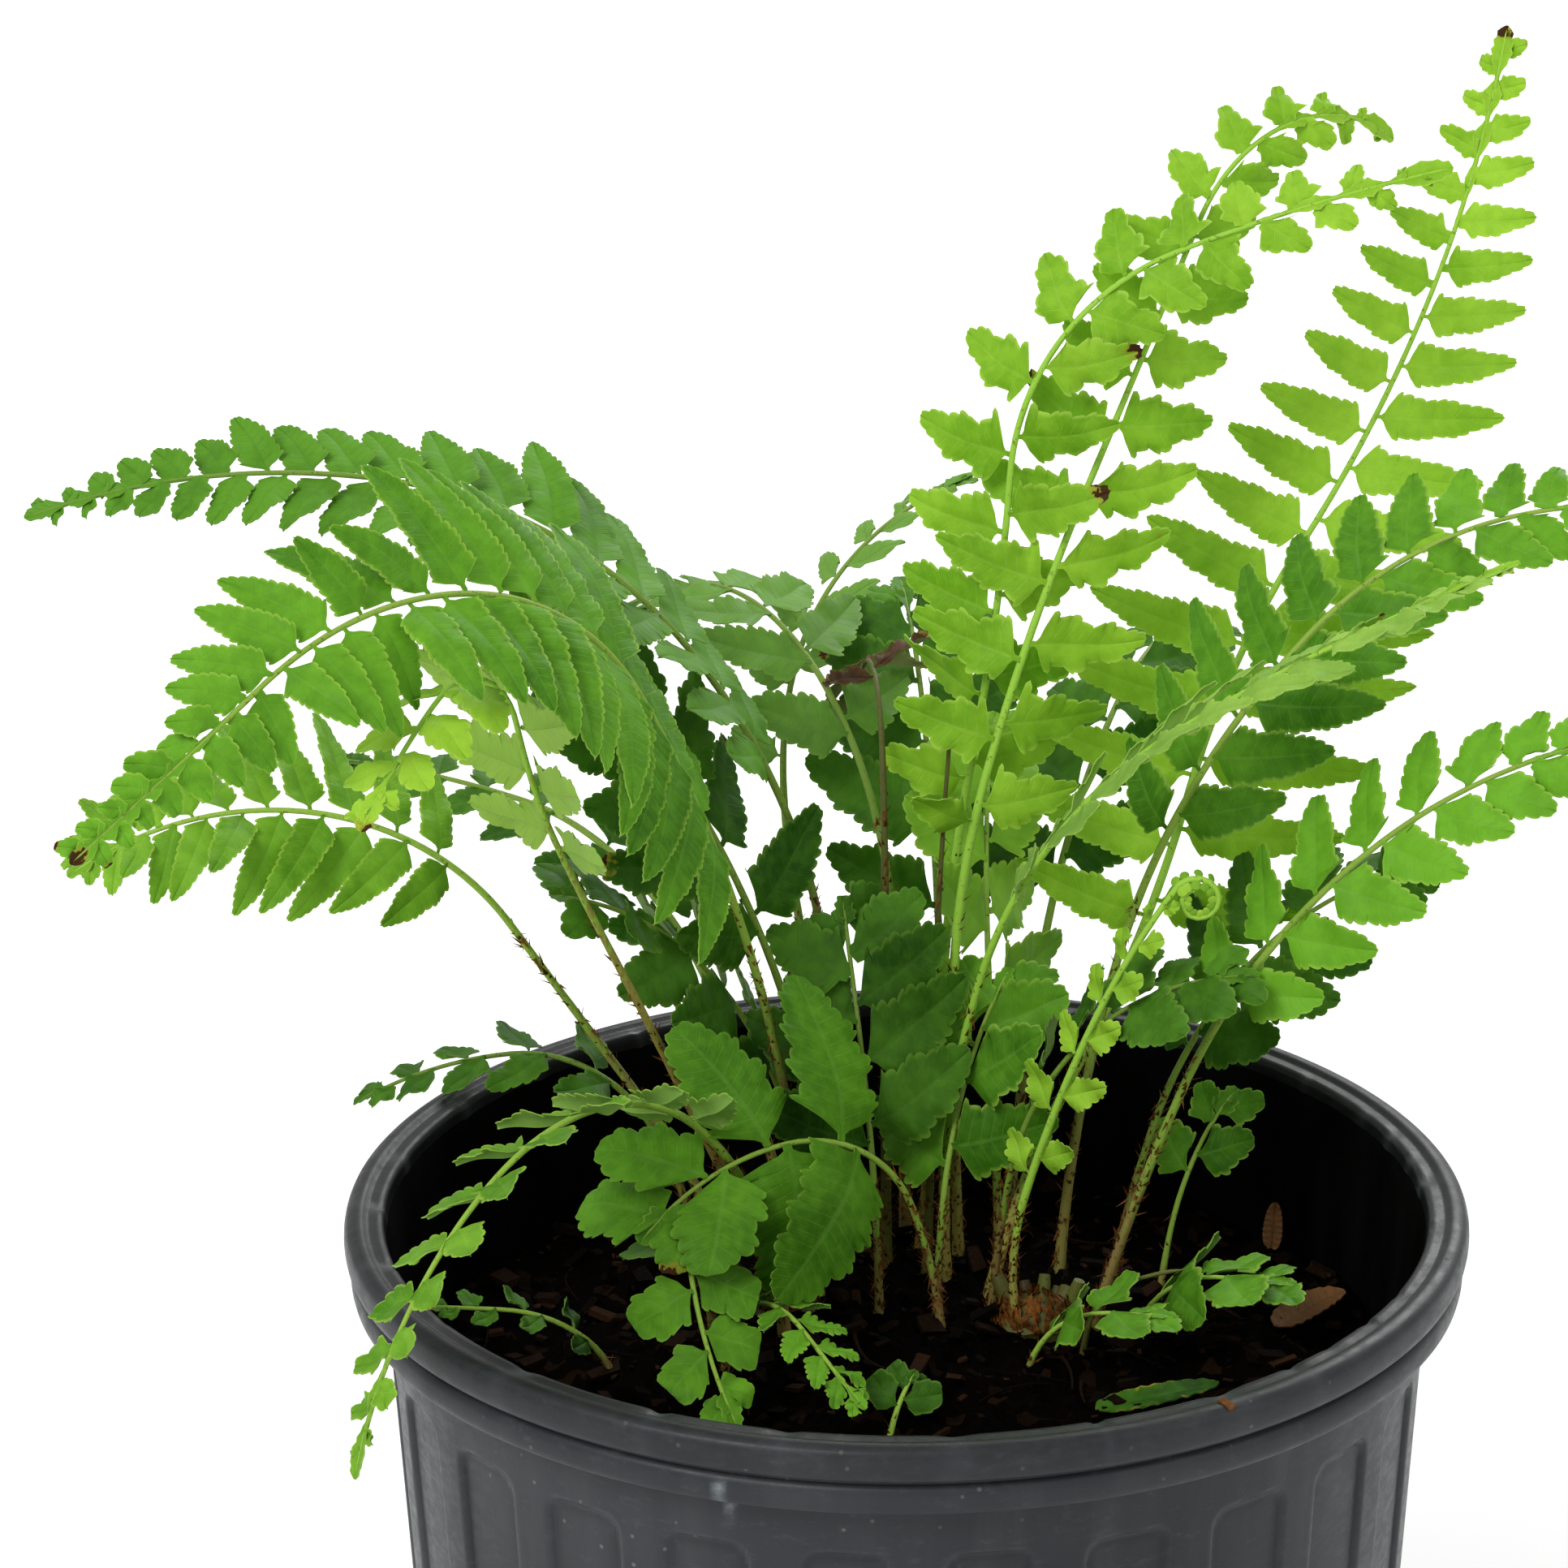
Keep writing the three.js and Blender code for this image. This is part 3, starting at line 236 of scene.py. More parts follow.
CUTS = {
    "frond_left_big": LANCE,
    "frond_left_behind": dict(LANCE, light=0.55, lighter=0.3, tan=0.5),
    "frond_left_low": dict(LANCE, brown=0.06, light=0.25, lighter=0.3, tan=0.6),
    "frond_left_bright": dict(SCALLOPED, depth=0.15, curl=1.6, brown=0.1, light=0.7, tan=0.95),
    "frond_over_rim": dict(SCALLOPED, depth=0.16, fold=16, brown=0.1, light=0.1),
    "frond_front_broad": dict(LOBED, lobes=0.1, belly=0.36, taper=2.2, blunt=0.62, ear=0.16, fold=4,
                              curl=0.7, brown=0.2, light=0.2, lighter=0.0, edge=0.72),
    "frond_front_round": dict(LOBED, spacing=4.6, lobes=0.08, belly=0.45, taper=2.4, blunt=0.5, ear=0.0,
                              fold=5, curl=0.7, brown=0.05, light=0.3, edge=0.75),
    "frond_front_fine": dict(LANCE, spacing=2.2, depth=0.34, light=0.25),
    "frond_right_tall": dict(SCALLOPED, curl=0.9, brown=0.0, light=0.38),
    "frond_right_second": LOBED,
    "frond_right_third": dict(LOBED, light=0.22),
    "frond_right_arching": dict(SCALLOPED, brown=0.03, light=0.0, lighter=0.75),
    "frond_right_edge_on": dict(SCALLOPED, brown=0.03, light=0.2, pale=0.9),
    "frond_right_low": dict(SCALLOPED, brown=0.04, light=0.6),
    "frond_coiled": dict(SCALLOPED, spacing=2.4, depth=0.2, curl=0.8, brown=0.0, light=0.5, tan=0.45),
    "weed_clover": dict(LOBED, spacing=6.0, depth=0.06, lobes=0, belly=0.5, blunt=0.5, ear=0.0,
                        curl=0.5, brown=0.0, light=0.0),
    "weed_sprig": dict(LANCE, light=0.0),
    "frond_back_far": dict(PLAIN_CUT, light=0.9, pale=0.6),
    "frond_back_left": dict(PLAIN_CUT, light=0.5, pale=0.3),
    "frond_middle_pale": dict(PLAIN_CUT, light=0.4),
    "frond_left_inner": dict(PLAIN_CUT, light=0.0, tan=0.6),
    "frond_dead": dict(PLAIN_CUT, light=0.0, depth=0.25, fold=40, curl=2.0, brown=1.0),
}


# Small helpers.

outer = np.multiply.outer


def vec(x, y, z):
    return np.array((x, y, z), float)


def unit(v):
    return v / np.linalg.norm(v)


def towards(heading, lift):
    """The direction at an angle round the upright and an angle up from level."""
    return vec(math.cos(heading) * math.cos(lift), math.sin(heading) * math.cos(lift), math.sin(lift))


def point_rows(*parts):
    """Grids or single values as one row for each point of the grid."""
    return np.stack(np.broadcast_arrays(*parts), axis=-1).reshape(-1, len(parts))


def angles_round(count):
    return np.arange(count) * TURN / count


def seeded(seed):
    """The same draws as the solids make from this seed."""
    state = seed

    def draw():
        nonlocal state
        state = (state * 1664525 + 1013904223) % 4294967296
        return state / 4294967296
    return draw


def smoothstep(x, low, high):
    t = np.clip((x - low) / (high - low), 0, 1)
    return t * t * (3 - 2 * t)


def blend(knots, u):
    return float(np.interp(min(max(u, 0), 1) * (len(knots) - 1), range(len(knots)), knots))


def grid_quads(rows, columns, first=0):
    """Corners of the cells of a grid of points, row by row."""
    i, j = np.meshgrid(np.arange(rows - 1), np.arange(columns - 1), indexing="ij")
    a = (i * columns + j).ravel() + first
    return np.stack([a, a + columns, a + columns + 1, a + 1], axis=1)


def tube_faces(rings, around):
    """Faces of a closed tube of rings of points: its wall, its first end and its last end."""
    i, j = np.meshgrid(np.arange(rings - 1), np.arange(around), indexing="ij")
    a = (i * around + j).ravel()
    b = (i * around + (j + 1) % around).ravel()
    wall = np.stack([a, b, b + around, a + around], axis=1)
    first = np.arange(around)[::-1][None]
    last = (np.arange(around) + (rings - 1) * around)[None]
    return [wall, first, last]


def turned_tube_faces(rings, around):
    """The same for rings whose first is the upper one."""
    wall, first, last = tube_faces(rings, around)
    return [np.roll(wall[:, ::-1], 1, axis=1), first[:, ::-1], last[:, ::-1]]


class Shell:
    """One mesh in the making. vein is place in the tooth, place across and place along a blade;
    tint is a draw for the blade, nearness to its edge, withering, and 1 underneath."""

    def __init__(self):
        self.points, self.veins, self.tints = [], [], []
        self.faces, self.slots = [], []
        self.count = 0

    def add(self, points, faces, slot, vein=None, tint=None):
        points = np.asarray(points, float).reshape(-1, 3)
        n = len(points)
        for face in faces:
            self.faces.extend((np.asarray(face) + self.count).tolist())
            self.slots.extend([slot] * len(face))
        self.points.append(points)
        self.veins.append(np.zeros((n, 3)) if vein is None else np.broadcast_to(vein, (n, 3)))
        self.tints.append(np.zeros((n, 4)) if tint is None else np.broadcast_to(tint, (n, 4)))
        self.count += n

    def piece(self, materials, node, slot, sharp=50):
        name = node + "_fine"
        mesh = bpy.data.meshes.new(name)
        points = np.clip(np.concatenate(self.points) * MM, *np.array(cad_box, float))
        mesh.from_pydata(points.tolist(), [], self.faces)
        mesh.polygons.foreach_set("material_index", self.slots)
        mesh.polygons.foreach_set("use_smooth", [True] * len(self.faces))
        vein = mesh.attributes.new("vein", "FLOAT_VECTOR", "POINT")
        vein.data.foreach_set("vector", np.concatenate(self.veins).ravel())
        tint = mesh.attributes.new("tint", "FLOAT_COLOR", "POINT")
        tint.data.foreach_set("color", np.concatenate(self.tints).ravel())
        mesh.update()
        mesh.set_sharp_from_angle(angle=math.radians(sharp))
        for material in materials:
            mesh.materials.append(material)
        made = bpy.data.objects.new(name, mesh)
        bpy.context.scene.collection.objects.link(made)
        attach(made, "root")
        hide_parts(node)
        return made


# Materials.

class Nodes:
    """A short way to write a node tree."""

    def __init__(self, name):
        self.material = bpy.data.materials.new(name)
        self.material.use_nodes = True
        self.tree = self.material.node_tree
        self.tree.nodes.clear()

    def new(self, kind, inputs=None, **settings):
        node = self.tree.nodes.new("ShaderNode" + kind)
        for key, value in settings.items():
            setattr(node, key, value)
        for key, value in (inputs or {}).items():
            self.feed(node.inputs[key], value)
        return node

    def feed(self, socket, value):
        """Sets a socket from another one, from plain numbers or from the code of a colour."""
        if isinstance(value, bpy.types.NodeSocket):
            self.tree.links.new(value, socket)
        else:
            socket.default_value = rgb(value) if isinstance(value, str) else value

    def math(self, operation, a, b=0.0, clamp=False):
        node = self.new("Math", {0: a, 1: b}, operation=operation, use_clamp=clamp)
        return node.outputs[0]

    def plus(self, a, b, clamp=False):
        return self.math("ADD", a, b, clamp)

    def times(self, a, b):
        return self.math("MULTIPLY", a, b)

    def range(self, value, low, high, to_low=0.0, to_high=1.0):
        inputs = {"Value": value, "From Min": low, "From Max": high, "To Min": to_low, "To Max": to_high}
        return self.new("MapRange", inputs, interpolation_type="SMOOTHSTEP").outputs[0]

    def mix(self, factor, a, b):
        node = self.new("Mix", data_type="RGBA")
        for socket, value in zip([node.inputs[0], node.inputs[6], node.inputs[7]], [factor, a, b]):
            self.feed(socket, value)
        return node.outputs[2]

    def noise(self, scale, detail=3.0, roughness=0.6, vector=None):
        inputs = {"Scale": scale, "Detail": detail, "Roughness": roughness}
        if vector is not None:
            inputs["Vector"] = vector
        return self.new("TexNoise", inputs).outputs["Fac"]

    def place(self):
        return self.new("TexCoord").outputs["Object"]

    def attribute(self, name):
        return self.new("Attribute", attribute_name=name)

    def tint(self):
        """The four parts of the tint that a Shell keeps for each point."""
        tint = self.attribute("tint")
        split = self.new("SeparateColor", {0: tint.outputs["Color"]})
        return [split.outputs[0], split.outputs[1], split.outputs[2], tint.outputs["Alpha"]]

    def stretched(self, place, scale):
        return self.new("Mapping", {"Vector": place, "Scale": scale}).outputs[0]

    def bump(self, height, distance, strength=1.0):
        inputs = {"Height": height, "Distance": distance, "Strength": strength}
        return self.new("Bump", inputs).outputs[0]

    def skin(self, colour, rough, normal, specular):
        """A plain surface shader with its gloss set on its own socket."""
        inputs = {"Base Color": colour, "Roughness": rough, "Normal": normal}
        shader = self.new("BsdfPrincipled", inputs)
        shader.inputs["Specular IOR Level"].default_value = specular
        return shader.outputs[0]

    def finish(self, shader):
        self.new("OutputMaterial", {"Surface": shader})
        return self.material


def rgb(code):
    """Linear colour of an sRGB code."""
    parts = [int(code[i:i + 2], 16) / 255 for i in (0, 2, 4)]
    return tuple(c / 12.92 if c < 0.04045 else ((c + 0.055) / 1.055) ** 2.4 for c in parts) + (1.0,)


LEAF_TONES = {
    # deep green, light green, vein, edge, light seen through the blade
    "bright": ("56920f", "a2d03a", "aed658", "b6d858", "b4e02c"),
    "fresh": ("427a0f", "8cc038", "98c850", "acce4e", "9cd42c"),
    "green": ("2f600b", "74b22a", "80b44a", "a2c84c", "84c620"),
    "dark": ("1f460a", "619a28", "54842e", "6f9a34", "62a41c"),
    "dead": ("241606", "7c5632", "3c260e", "6c4826", "6a4218"),
}
WITHERED = "44290f"
YELLOWED = "a39a30"
UNDERSIDE = "9dba6a"
# share of the light that passes through a blade
SEEN_THROUGH = 0.26


def leaf_material(tone):
    deep, light, vein_colour, edge, through = LEAF_TONES[tone]
    n = Nodes("leaf_" + tone)
    place = n.place()
    draw, rim, withering, under = n.tint()
    vein = n.new("SeparateXYZ", {0: n.attribute("vein").outputs["Vector"]})
    phase, across = vein.outputs[0], vein.outputs[1]
    off_middle = n.math("ABSOLUTE", across)

    # side veins run from the midrib to the teeth and fork on their way; the midrib is one line
    line = n.math("ABSOLUTE", n.math("SUBTRACT", n.math("FRACT", phase), 0.62))
    forks = n.math("ABSOLUTE", n.math("SUBTRACT", n.math("FRACT", n.times(phase, 3.0)), 0.5))
    side_vein = n.times(n.range(line, 0.08, 0.0), n.range(off_middle, 0.95, 0.5, 0.0, 0.9))
    fine_vein = n.times(n.range(forks, 0.2, 0.0), n.range(off_middle, 0.2, 0.6, 0.0, 0.35))
    midrib = n.range(off_middle, 0.09, 0.02, 0.0, 0.7)
    lines = n.math("MAXIMUM", n.math("MAXIMUM", side_vein, fine_vein), midrib)

    mottle = n.noise(260.0, 4.0, 0.6, place)
    patches = n.noise(30.0, 2.0, 0.5, place)
    shade = n.plus(draw, n.range(mottle, 0.35, 0.68, 0.0, 0.22))
    shade = n.plus(shade, n.range(patches, 0.3, 0.7, -0.12, 0.2), clamp=True)
    green = n.mix(shade, deep, light)
    green = n.mix(n.times(lines, 0.3), green, vein_colour)
    green = n.mix(n.range(rim, 0.5, 1.0, 0.0, 0.6), green, edge)
    green = n.mix(n.times(under, 0.45), green, UNDERSIDE)
    ragged = n.plus(withering, n.range(n.noise(360.0, 3.0, 0.6, place), 0.2, 0.8, -0.3, 0.3))
    green = n.mix(n.range(ragged, 0.3, 0.5, 0.0, 0.8), green, YELLOWED)
    dry = n.range(ragged, 0.5, 0.6)
    colour = n.mix(dry, green, WITHERED)

    fine = n.noise(1400.0, 2.0, 0.5, place)
    height = n.plus(n.times(lines, -0.45), n.times(fine, 0.25))
    height = n.plus(height, n.times(mottle, 0.5))
    normal = n.bump(height, 0.00025, 0.6)
    rough = n.range(mottle, 0.3, 0.7, 0.44, 0.6)
    skin = n.skin(colour, rough, normal, 0.12)
    lit = n.mix(dry, n.mix(n.times(lines, 0.35), through, deep), WITHERED)
    glow = n.new("BsdfTranslucent", {"Color": lit, "Normal": normal}).outputs[0]
    return n.finish(n.new("MixShader", {0: SEEN_THROUGH, 1: skin, 2: glow}).outputs[0])


def stem_material(name, green, tan):
    n = Nodes(name)
    place = n.place()
    draw, _, withering, _ = n.tint()
    streaks = n.noise(180.0, 4.0, 0.6, n.stretched(place, (6, 6, 1)))
    specks = n.noise(900.0, 2.0, 0.6, place)
    brown = n.plus(withering, n.range(streaks, 0.35, 0.7, -0.25, 0.25), clamp=True)
    colour = n.mix(n.range(brown, 0.25, 0.75), green, tan)
    colour = n.mix(n.times(draw, 0.25), colour, "9dbc4a")
    colour = n.mix(n.times(n.range(specks, 0.62, 0.7), 0.6), colour, "4a3014")
    normal = n.bump(n.plus(streaks, n.times(specks, 0.6)), 0.0004, 0.6)
    return n.finish(n.skin(colour, n.range(streaks, 0.3, 0.7, 0.45, 0.65), normal, 0.2))


def scale_material():
    n = Nodes("scales")
    place = n.place()
    streaks = n.noise(800.0, 3.0, 0.6, place)
    draw = n.tint()[0]
    colour = n.mix(draw, "3a1d08", "6c3e10")
    # paler streaks: painted highlight on the scales
    colour = n.mix(n.range(streaks, 0.4, 0.7, 0.0, 0.4), colour, "8c622c")
    rough = n.range(streaks, 0.3, 0.7, 0.6, 0.8)
    return n.finish(n.skin(colour, rough, n.bump(streaks, 0.0003, 0.5), 0.1))


def pot_material():
    n = Nodes("pot_plastic")
    place = n.place()
    broad = n.noise(9.0, 3.0, 0.55, place)
    streaks = n.noise(60.0, 4.0, 0.6, n.stretched(place, (1, 1, 0.12)))
    grain = n.noise(1800.0, 2.0, 0.5, place)
    scuffs = n.noise(150.0, 5.0, 0.75, n.stretched(place, (1, 1, 2.2)))
    dust = n.new("TexVoronoi", {"Vector": place, "Scale": 170.0}, feature="F1")
    specks = n.times(n.range(dust.outputs["Distance"], 0.13, 0.05), n.range(broad, 0.45, 0.65))
    _, wear_and_painted_highlight, shade, _ = n.tint()
    colour = n.mix(n.range(broad, 0.3, 0.7), "1f2225", "2d3033")
    colour = n.mix(n.range(streaks, 0.45, 0.75, 0.0, 0.35), colour, "404344")
    film = n.times(n.range(scuffs, 0.52, 0.75), 0.14)
    colour = n.mix(film, colour, "6c6f6f")
    colour = n.mix(n.times(specks, 0.3), colour, "96948a")
    # pale grey for real wear, dents and the scrape, and as painted highlight on the panels' edges
    colour = n.mix(n.times(wear_and_painted_highlight, n.range(scuffs, 0.35, 0.65, 0.25, 0.6)), colour, "7a8082")
    # painted shade: near black on the rim's top, its beads and beside the panels
    colour = n.mix(n.times(shade, 0.8), colour, "050607")
    rough = n.plus(n.range(scuffs, 0.35, 0.7, 0.34, 0.5), n.times(specks, 0.2))
    height = n.plus(n.times(grain, 0.3), n.times(streaks, 0.8))
    height = n.plus(height, n.times(specks, 0.5))
    return n.finish(n.skin(colour, rough, n.bump(height, 0.0004, 0.35), 0.2))


def painted_shade_inner_material():
    """The inner wall: free of wear, with splashed soil, and almost black as painted shade inside the
    pot.
    """
    n = Nodes("pot_inner")
    place = n.place()
    streaks = n.noise(50.0, 4.0, 0.6, n.stretched(place, (1, 1, 0.2)))
    splash = n.noise(420.0, 4.0, 0.7, place)
    # painted shade: the pot's dark plastic made almost black inside the pot
    colour = n.mix(n.range(streaks, 0.35, 0.7), "020202", "070707")
    colour = n.mix(n.range(splash, 0.64, 0.76, 0.0, 0.5), colour, "1a130c")
    rough = n.range(streaks, 0.3, 0.7, 0.5, 0.75)
    normal = n.bump(n.plus(streaks, splash), 0.0004, 0.4)
    return n.finish(n.skin(colour, rough, normal, 0.04))


def soil_material():
    n = Nodes("soil")
    place = n.place()
    lumps = n.noise(120.0, 6.0, 0.7, place)
    grains = n.noise(900.0, 4.0, 0.7, place)
    bits = n.new("TexVoronoi", {"Vector": place, "Scale": 260.0}, feature="F1")
    bit_draw = n.new("SeparateColor", {0: bits.outputs["Color"]}).outputs[0]
    # painted shade: the dark soil darkened further, almost to black, inside the pot
    colour = n.mix(n.range(lumps, 0.35, 0.7), "020101", "080503")
    colour = n.mix(n.times(n.range(bit_draw, 0.86, 0.97), 0.6), colour, "22160c")
    colour = n.mix(n.times(n.range(grains, 0.62, 0.78), 0.4), colour, "2a1e12")
    height = n.plus(lumps, n.times(grains, 0.5))
    rough = n.range(lumps, 0.3, 0.7, 0.75, 0.98)
    return n.finish(n.skin(colour, rough, n.bump(height, 0.0012, 0.9), 0.01))


def bark_material():
    n = Nodes("bark_bits")
    place = n.place()
    fibre = n.noise(300.0, 5.0, 0.7, place)
    draw = n.tint()[0]
    # flakes from near black to brown: their own brown, darkened further as painted shade inside the pot
    colour = n.mix(n.math("POWER", draw, 3.0), "050302", "2c1b0f")
    colour = n.mix(n.range(fibre, 0.5, 0.75, 0.0, 0.2), colour, "3c2816")
    rough = n.range(fibre, 0.3, 0.7, 0.7, 0.92)
    return n.finish(n.skin(colour, rough, n.bump(fibre, 0.0008, 0.8), 0.03))


def floor_material():
    n = Nodes("floor")
    cloud = n.noise(3.0, 2.0, 0.5, n.place())
    colour = n.mix(cloud, (0.86, 0.86, 0.86, 1), (0.9, 0.9, 0.9, 1))
    skin = n.new("BsdfPrincipled", {"Base Color": colour, "Roughness": 0.8})
    skin.inputs["Specular IOR Level"].default_value = 0.1
    return n.finish(skin.outputs[0])


LEAVES = {tone: leaf_material(tone) for tone in LEAF_TONES}
STEMS = {
    "bright": stem_material("stem_bright", "8abb3a", "8a7a3c"),
    "fresh": stem_material("stem_fresh", "82a83a", "80703a"),
    "green": stem_material("stem_green", "7a9a36", "7c683a"),
    "dark": stem_material("stem_dark", "62802a", "6a5630"),
    "dead": stem_material("stem_dead", "4a3418", "33200f"),
}
SCALES = scale_material()
POT = pot_material()
POT_INNER_PAINTED_SHADE = painted_shade_inner_material()
SOIL = soil_material()
BARK = bark_material()


# Fronds: their lines, widths and shares are reckoned as for the solids.

LINE_STEPS = 160
COIL_STEPS = 14


class Line:
    """The frond's line as fine steps, each with its place, direction, side and up."""

    def __init__(self, spec):
        self.rows = []
        self.place = vec(*spec.foot, SOIL_Z - ROOTED + 3)
        for i in range(LINE_STEPS + 1):
            share = i / LINE_STEPS
            self.step(spec, share, blend(spec.climb, share), spec.length / LINE_STEPS)
        if spec.coil:
            turns, start, end = spec.coil
            count = round(turns * COIL_STEPS)
            for i in range(1, count + 1):
                radius = start + (end - start) * i / count
                climb = spec.climb[3] - i * turns * 360 / count
                self.step(spec, 1 + i / count, climb, radius * TURN / COIL_STEPS)
        self.shares = np.array([row[0] for row in self.rows])
        self.table = np.array([np.concatenate(row[1:]) for row in self.rows])

    def step(self, spec, share, climb, stride):
        heading = math.radians(spec.heading + spec.turn * min(share, 1))
        tangent = towards(heading, math.radians(climb))
        level = vec(math.sin(heading), -math.cos(heading), 0)
        rise = np.cross(level, tangent)
        lean = math.radians(spec.roll - spec.twist * max(1 - share, 0))
        roll = lean * float(smoothstep(share, spec.bare * 0.4, spec.bare))
        side = level * math.cos(roll) + rise * math.sin(roll)
        self.rows.append((share, self.place.copy(), tangent, side, np.cross(side, tangent)))
        self.place = self.place + tangent * stride

    def at(self, share):
        i = min(max(1, int(np.searchsorted(self.shares, share))), len(self.shares) - 1)
        u = (share - self.shares[i - 1]) / (self.shares[i] - self.shares[i - 1])
        row = self.table[i - 1] * (1 - u) + self.table[i] * u
        return row[:3], unit(row[3:6]), unit(row[6:9]), unit(row[9:12])


def stem_width(spec, share):
    full = min(STEM_WIDTH, 1.5 + spec.length * 0.0105)
    tip = 1.9 if spec.coil else min(STEM_TIP, full)
    return full + (tip - full) * min(share, 1) ** 0.8


def stem_corner(spec, line, share, sign, skew):
    """Where one end of a leaflet's root meets the side of the stem."""
    place, tangent, side, up = line.at(share)
    width = stem_width(spec, share)
    return place + side * sign * width / 2 + up * width * 0.3 + tangent * skew * sign


def pinna_share(spec, w):
    """Length of the leaflet at w along the leafy part, as a share of the longest."""
    run = 0.3 + 0.036 * spec.pairs
    return min(1, 0.7 + 1.5 * w) * max((1 - w ** 1.4) ** run, 0.11)


def pair_share(spec, k):
    """Where pair k stands on the stem; pairs stand closer towards the tip."""
    x = (k + 0.42) / (spec.pairs + 0.3)
    return spec.bare + (1 - spec.bare) * x * (1.35 - 0.35 * x)


class Pinna:
    """Where one leaflet starts and how it lies, for one of the bends that the solids try."""

    def __init__(self, spec, line, index, sign, bend):
        lift, swing, size = bend
        pairs = spec.pairs
        gap = 0.7 * (1 - spec.bare) * spec.length / pairs
        half = min(ROOT_WIDTH, gap * 0.6) / 2 / spec.length
        skew = min(gap * 0.25, 2.4)
        middle = pair_share(spec, index)
        _, tangent, side, up = line.at(middle - half)
        w = (index + 0.5) / pairs
        # the solid's leaflet has the same seed
        draw = seeded(index * 7919 + spec.length * 31 + (17 if sign > 0 else 5))
        self.length = spec.pinna * pinna_share(spec, w) * size * (0.94 + 0.12 * draw())
        full_width = spec.width * min(1, 0.4 + 0.75 * pinna_share(spec, w))
        self.width = min(full_width, self.length * 0.9) * size ** 0.5
        self.out = side * sign
        loose = spec.loose
        lifted = math.radians(lift + LIFT_PLAY * loose * (draw() - 0.5))
        slant = spec.slant * sign
        sweep = math.radians(spec.sweep - slant - 14 * w + swing + SWING_PLAY * loose * (draw() - 0.5))
        flat = tangent * math.cos(sweep) + self.out * math.sin(sweep)
        self.axis = unit(flat * math.cos(lifted) + up * math.sin(lifted))
        level = unit(up - self.axis * up.dot(self.axis))
        across = unit(np.cross(level, self.axis) * sign)
        pitch = math.radians(spec.pitch + TWIST_PLAY * loose * (draw() - 0.5))
        self.breadth = across * math.cos(pitch) + level * math.sin(pitch)
        self.face = level * math.cos(pitch) - across * math.sin(pitch)
        near = stem_corner(spec, line, middle - half, sign, skew)
        far = stem_corner(spec, line, middle + half, sign, skew)
        self.start = (near + far) / 2
        self.outward = self.out * 0.86 - up * 0.51
        self.hang = math.radians(spec.hang)
        self.sink = stem_width(spec, middle - half) * 0.18
        self.index, self.sign, self.w = index, sign, w

    def spots(self, u, b, clear):
        """Points at u along the leaflet and b half widths across it, kept clear of the stem."""
        bent = self.hang * u
        reach = self.length * u * (1 - 0.08 * bent * bent)
        drop = -self.length * u * np.sin(bent / 2) - self.sink
        wave = 0.5 * np.sin(u * 7 + np.clip(b, -1, 1) * 2 + self.index)
        aside = b * self.width * 0.5 + BOW * self.length * u * u
        spot = (self.start + outer(reach, self.axis)
                + outer(drop + wave, self.face) + outer(aside, self.breadth))
        push = np.maximum(0, clear - (spot - self.start) @ self.outward) / 0.86
        return spot + outer(push, self.out)


def node_points(name):
    """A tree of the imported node's corners, in millimetres."""
    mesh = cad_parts[name].data
    tree = kdtree.KDTree(len(mesh.vertices))
    for i, vertex in enumerate(mesh.vertices):
        tree.insert(vertex.co / MM, i)
    tree.balance()
    return tree


# how far a leaflet's tip may lie from a corner of its solid
MOST_MISS = 0.3


def chosen_pinnae(spec, line):
    """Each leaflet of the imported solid, found by where its tip lies."""
    tree = node_points(spec.name)
    found = []
    for index in range(spec.pairs):
        for sign in (1, -1):
            best = None
            for bend in BENDS:
                pinna = Pinna(spec, line, index, sign, bend)
                tip = pinna.spots(np.array([1.0]), np.array([0.1]), STEM_CLEAR)[0]
                miss = min(tree.find(Vector(tip + pinna.face * s * BLADE / 2))[2] for s in (1, -1))
                if miss < MOST_MISS and (best is None or miss < best[0]):
                    best = (miss, pinna)
            if best:
                found.append(best[1])
    return found


LEAF_SLOT = 0
STEM_SLOT = 1
SCALE_SLOT = 2
ACROSS = np.array([-1, -0.62, -0.12, 0, 0.12, 0.62, 1])
# one tooth: places along it, and how far each stands out
TOOTH = ([0, 0.3, 0.58, 0.84, 1], [0, 0.78, 1, 0.72, 0])
BLADE_THICK = 0.36
LOBE_LENGTH = 9.5
# where the teeth start along a leaflet, and the share of it that they take up
TEETH_FROM = 0.07
TEETH_SPAN = 0.93
TOOTH_LEAN = 0.22
FIELD_RISE = 0.26
MIDRIB_SINK = 0.14
MOST_RELIEF = 2.2
# how far the side veins lean towards the tip, in teeth, and a shift that keeps them above zero
VEIN_LEAN = 0.9
VEIN_SHIFT = 50
# share of a frond from which its last leaflets merge into one blade
MERGED_FROM = 0.72


def edge_width(u, cut, ear):
    """Half width of a blade along its length, in shares of the solid's half width."""
    narrowing = np.clip((u - cut["belly"]) / (1 - cut["belly"]), 0, 1) ** cut["taper"]
    body = np.maximum(1 - narrowing, 0) ** cut["blunt"]
    lobe = ear * np.exp(-((u - 0.13) / 0.07) ** 2)
    return 0.1 + (body + lobe - 0.1) * smoothstep(u, 0.03, 0.11)


